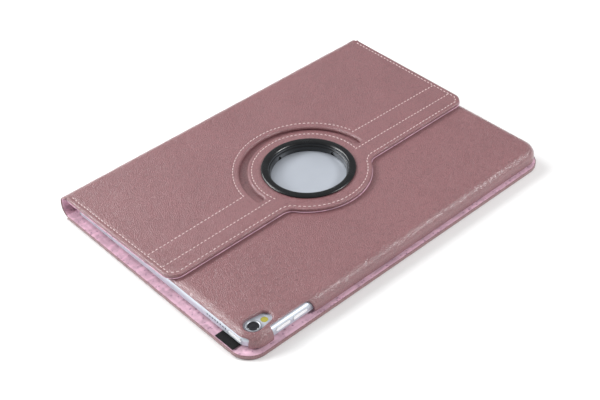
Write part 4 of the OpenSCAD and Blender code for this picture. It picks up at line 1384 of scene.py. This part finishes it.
class FOLIO_OT_camera(bpy.types.Operator):
    """Camera: stepped trim ring, domed lens with inner rings, and the flash"""

    bl_idname = "folio.camera"
    bl_label = "Camera"

    def execute(self, context):
        _, colours = settings(context)
        trim = metal_finish("camera trim", (0.42, 0.44, 0.48), 0.5, 0.1)
        glass = glass_finish("camera glass", (0.006, 0.006, 0.011))
        amber = plastic_finish("flash lens", colours.flash, 0.18, 0.8, 0.5)
        cx = (CAMERA_LOW[0] + CAMERA_HIGH[0]) / 2
        cy = (CAMERA_LOW[1] + CAMERA_HIGH[1]) / 2
        r = (CAMERA_HIGH[0] - CAMERA_LOW[0]) / 2
        low, high = CAMERA_LOW[2], CAMERA_HIGH[2]
        back = TABLET_HIGH[2]
        bore = (LENS_HIGH[0] - LENS_LOW[0]) / 2 + 0.04
        ring = [
            (bore, low), (r - 0.62, low), (r - 0.62, back), (r - 0.06, back), (r, back + 0.06),
            (r, high - 0.28), (r - 0.08, high - 0.1), (r - 0.26, high), (r - 0.62, high),
            (r - 0.8, high - 0.05),
            (bore + 0.12, high - 0.28), (bore, high - 0.4),
        ]
        v, f = turned_ring(ring, 120, (cx, cy))
        put("camera_trim", v, f, trim, "tray", ["rear_camera_ring"], sharp=30)
        top, foot = LENS_HIGH[2], LENS_LOW[2]
        lens_r = (LENS_HIGH[0] - LENS_LOW[0]) / 2
        shares = (0.82, 0.8, 0.66, 0.64, 0.4, 0.38, 0.2, 0.08)
        radii = [lens_r, lens_r - 0.12, *(lens_r * share for share in shares)]
        drops = [0.16, 0.05, 0.05, 0.2, 0.24, 0.36, 0.4, 0.28, 0.2, 0.17]
        centre = (cx, cy)
        self.button("camera_lens", radii, drops, foot, top, centre, glass, "lens_glass", "rear_camera_lens")
        fx = (FLASH_LOW[0] + FLASH_HIGH[0]) / 2
        flash_r = (FLASH_HIGH[0] - FLASH_LOW[0]) / 2
        radii = [flash_r, flash_r - 0.15, *(flash_r * share for share in (0.8, 0.6, 0.4, 0.2))]
        drops = [0.12, 0.02, 0.1, 0.02, 0.1, 0.0]
        foot, top = FLASH_LOW[2], FLASH_HIGH[2]
        self.button("flash_window", radii, drops, foot, top, (fx, cy), amber, "flash_glass", "flash_lens")
        return {"FINISHED"}

    def button(self, name, radii, drops, foot, top, centre, finish, slot, node):
        """Round closed piece with a stepped or ribbed face."""
        rows = [(radii[0], foot), *((r, top - d) for r, d in zip(radii, drops))]
        angles = [math.tau * k / 72 for k in range(72)]
        rings = []
        for r, z in rows:
            rings.append([(centre[0] + r * math.cos(a), centre[1] + r * math.sin(a), z) for a in angles])
        v, f = tube_grid(rings)
        put(name, v, f, finish, "tray", [node], sharp=30)


class FOLIO_OT_finishes(bpy.types.Operator):
    """Finishes and softened edges of the pieces that come straight from the frame"""

    bl_idname = "folio.finishes"
    bl_label = "Finishes"

    def execute(self, context):
        _, colours = settings(context)
        alloy = metal_finish("anodised housing", colours.aluminium, 0.46, 0.12, 0.6)
        # Painted glare: the keys and the home ring get a near-white alloy, far lighter than the housing's
        # own alloy.
        glare_alloy = metal_finish("alloy with painted glare", (0.93, 0.95, 0.98), 0.3, 0.12, 0.15)
        steel = metal_finish("plain steel", (0.6, 0.6, 0.62), 0.4, 0.3)
        shield = metal_finish("tinned shield", (0.66, 0.67, 0.7), 0.35, 0.8)
        gold = metal_finish("gilt contact", (0.82, 0.66, 0.34), 0.25)
        front = glass_finish("front glass", (0.006, 0.006, 0.007))
        panel = glass_finish("display layers", (0.02, 0.021, 0.026), 0.2)
        black = plastic_finish("black plastic", (0.014, 0.014, 0.016), 0.4, 0.0)
        white = plastic_finish("pale plastic", (0.75, 0.74, 0.72), 0.45, 0.1)
        lining = bpy.data.materials["thin felt"]
        board = board_finish("pressed board", (0.30, 0.26, 0.20))
        soft = felt_finish("band filling", (0.6, 0.55, 0.52))
        circuit = circuit_finish("circuit board", (0.008, 0.05, 0.024))
        film = film_finish("flexible film", (0.55, 0.24, 0.05))
        foil = foil_finish("battery foil", (0.03, 0.03, 0.034))
        glue = board_finish("glue sheet", (0.3, 0.3, 0.31))
        hub = plastic_finish("hub plastic", (0.016, 0.016, 0.018), 0.42, 0.1)
        washer = plastic_finish("washer", (0.78, 0.77, 0.73), 0.3, 0.2)
        finishes = {
            alloy: ["rear_housing"],
            glare_alloy: ["home_button_ring", "power_button", "volume_up_button", "volume_down_button"],
            steel: ["cover_magnets", "display_plate", "swivel_screws", "board_screws", "charging_socket"],
            shield: ["chip_shields", "headphone_socket"],
            gold: ["keyboard_contacts", "microphone", "antennas"],
            front: ["display_glass", "home_button"],
            panel: ["display_panel"],
            black: ["rear_camera_module", "front_camera", "speakers", "home_button_sensor"],
            white: ["button_switches"],
            lining: ["tray_lining"],
            board: ["front_cover_board", "flap_spine_board", "flap_disc_board"],
            soft: ["flap_hinge_strip"],
            circuit: ["logic_board", "socket_board"],
            film: ["display_flex", "battery_flex", "button_flex"],
            foil: ["battery_cells"],
            glue: ["battery_tray"],
            hub: ["swivel_hub", "swivel_bush"],
            washer: ["swivel_washer"],
        }
        rounded = {
            "power_button": 0.3, "volume_up_button": 0.3, "volume_down_button": 0.3, "home_button": 0.12,
            "home_button_ring": 0.12, "display_glass": 0.12, "rear_housing": 0.08, "speakers": 0.2,
            "swivel_hub": 0.15, "swivel_bush": 0.15, "battery_cells": 0.4, "chip_shields": 0.1,
            "rear_camera_module": 0.2, "charging_socket": 0.08, "headphone_socket": 0.08,
        }
        for finish, nodes in finishes.items():
            for name in nodes:
                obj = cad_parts[name]
                obj.data.materials.clear()
                obj.data.materials.append(finish)
        for name, width in rounded.items():
            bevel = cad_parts[name].modifiers.new("soft edge", "BEVEL")
            bevel.width = width * MM
            bevel.segments = 2
            bevel.limit_method = "ANGLE"
            bevel.angle_limit = math.radians(50)
            bevel.harden_normals = False
        return {"FINISHED"}


class FOLIO_OT_stage(bpy.types.Operator):
    """Floor, soft lights and camera"""

    bl_idname = "folio.stage"
    bl_label = "Stage"

    def execute(self, context):
        stage = context.scene.folio_stage
        a, e, roll = stage.azimuth, stage.elevation, stage.roll
        back = Vector((math.sin(a) * math.cos(e), -math.cos(a) * math.cos(e), math.sin(e)))
        level = Vector((math.cos(a), math.sin(a), 0))
        steep = back.cross(level)
        right = math.cos(roll) * level + math.sin(roll) * steep
        up = math.cos(roll) * steep - math.sin(roll) * level
        data = bpy.data.cameras.new("Camera")
        data.lens = stage.lens
        data.sensor_width = 36
        data.clip_start = 0.01
        data.dof.use_dof = False
        camera = bpy.data.objects.new("Camera", data)
        turn = Matrix((right, up, back)).transposed().to_4x4()
        aim = Vector((stage.aim_x, stage.aim_y, 0))
        camera.matrix_world = Matrix.Translation(aim + back * stage.distance) @ turn
        context.scene.collection.objects.link(camera)
        context.scene.camera = camera
        self.floor(context, stage)
        self.light(context, "key", (-0.3, 1.15, 1.0), (0.8, 0.8), stage.key)
        self.light(context, "front box", (0.8, -0.98, 1.0), (0.7, 0.4), stage.boxes)
        self.light(context, "left box", (-1.05, 0.93, 0.78), (0.7, 0.4), stage.boxes)
        world = bpy.data.worlds.new("surroundings")
        world.use_nodes = True
        sky = world.node_tree.nodes["Background"]
        sky.inputs["Color"].default_value = (1.0, 1.0, 1.0, 1.0)
        sky.inputs["Strength"].default_value = stage.sky
        context.scene.world = world
        context.scene.view_settings.view_transform = "Standard"
        return {"FINISHED"}

    def floor(self, context, stage):
        """Wide pale sheet just under the case, with a faint texture."""
        f = Finish("studio floor", stage.floor, 0.75)
        grain = f.noise(20 * MM, 3.0)
        f.bump(grain, 0.05 * MM, 0.2)
        material = f.done(f.blend(grain, f.tint(0.99), f.tint(1.01)), f.spread(grain, 0.3, 0.7, 0.7, 0.8))
        size, z = 4.0, cad_box[0].z - 0.0004
        corners = [(-size, -size, z), (size, -size, z), (size, size, z), (-size, size, z)]
        mesh = bpy.data.meshes.new("floor")
        mesh.from_pydata(corners, [], [(0, 1, 2, 3)])
        mesh.materials.append(material)
        obj = bpy.data.objects.new("floor", mesh)
        context.scene.collection.objects.link(obj)

    def light(self, context, name, place, size, power):
        """Soft rectangular light aimed at the case."""
        data = bpy.data.lights.new(name, "AREA")
        data.shape = "RECTANGLE"
        data.size, data.size_y = size
        data.energy = power
        obj = bpy.data.objects.new(name, data)
        obj.location = place
        obj.rotation_euler = (-Vector(place)).to_track_quat("-Z", "Y").to_euler()
        context.scene.collection.objects.link(obj)


class FOLIO_PT_panel(bpy.types.Panel):
    """Folio's pieces, sizes and colours"""

    bl_label = "Folio"
    bl_space_type = "VIEW_3D"
    bl_region_type = "UI"
    bl_category = "Folio"

    def draw(self, context):
        for operator in OPERATORS:
            self.layout.operator(operator.bl_idname)
        for group in (context.scene.folio_sizes, context.scene.folio_colours, context.scene.folio_stage):
            box = self.layout.box()
            for name in group.__annotations__:
                box.prop(group, name)


OPERATORS = (
    FOLIO_OT_flap,
    FOLIO_OT_tray,
    FOLIO_OT_cover,
    FOLIO_OT_spine,
    FOLIO_OT_swivel,
    FOLIO_OT_camera,
    FOLIO_OT_finishes,
    FOLIO_OT_stage,
)
CLASSES = (FolioSizes, FolioColours, FolioStage, *OPERATORS, FOLIO_PT_panel)


def register():
    for cls in CLASSES:
        bpy.utils.register_class(cls)
    bpy.types.Scene.folio_sizes = PointerProperty(type=FolioSizes)
    bpy.types.Scene.folio_colours = PointerProperty(type=FolioColours)
    bpy.types.Scene.folio_stage = PointerProperty(type=FolioStage)


def unregister():
    del bpy.types.Scene.folio_stage
    del bpy.types.Scene.folio_colours
    del bpy.types.Scene.folio_sizes
    for cls in reversed(CLASSES):
        bpy.utils.unregister_class(cls)


def main():
    """Builds every piece in order."""
    register()
    bpy.ops.folio.flap()
    bpy.ops.folio.tray()
    bpy.ops.folio.cover()
    bpy.ops.folio.spine()
    bpy.ops.folio.swivel()
    bpy.ops.folio.camera()
    bpy.ops.folio.finishes()
    bpy.ops.folio.stage()


if __name__ == "__main__":
    main()
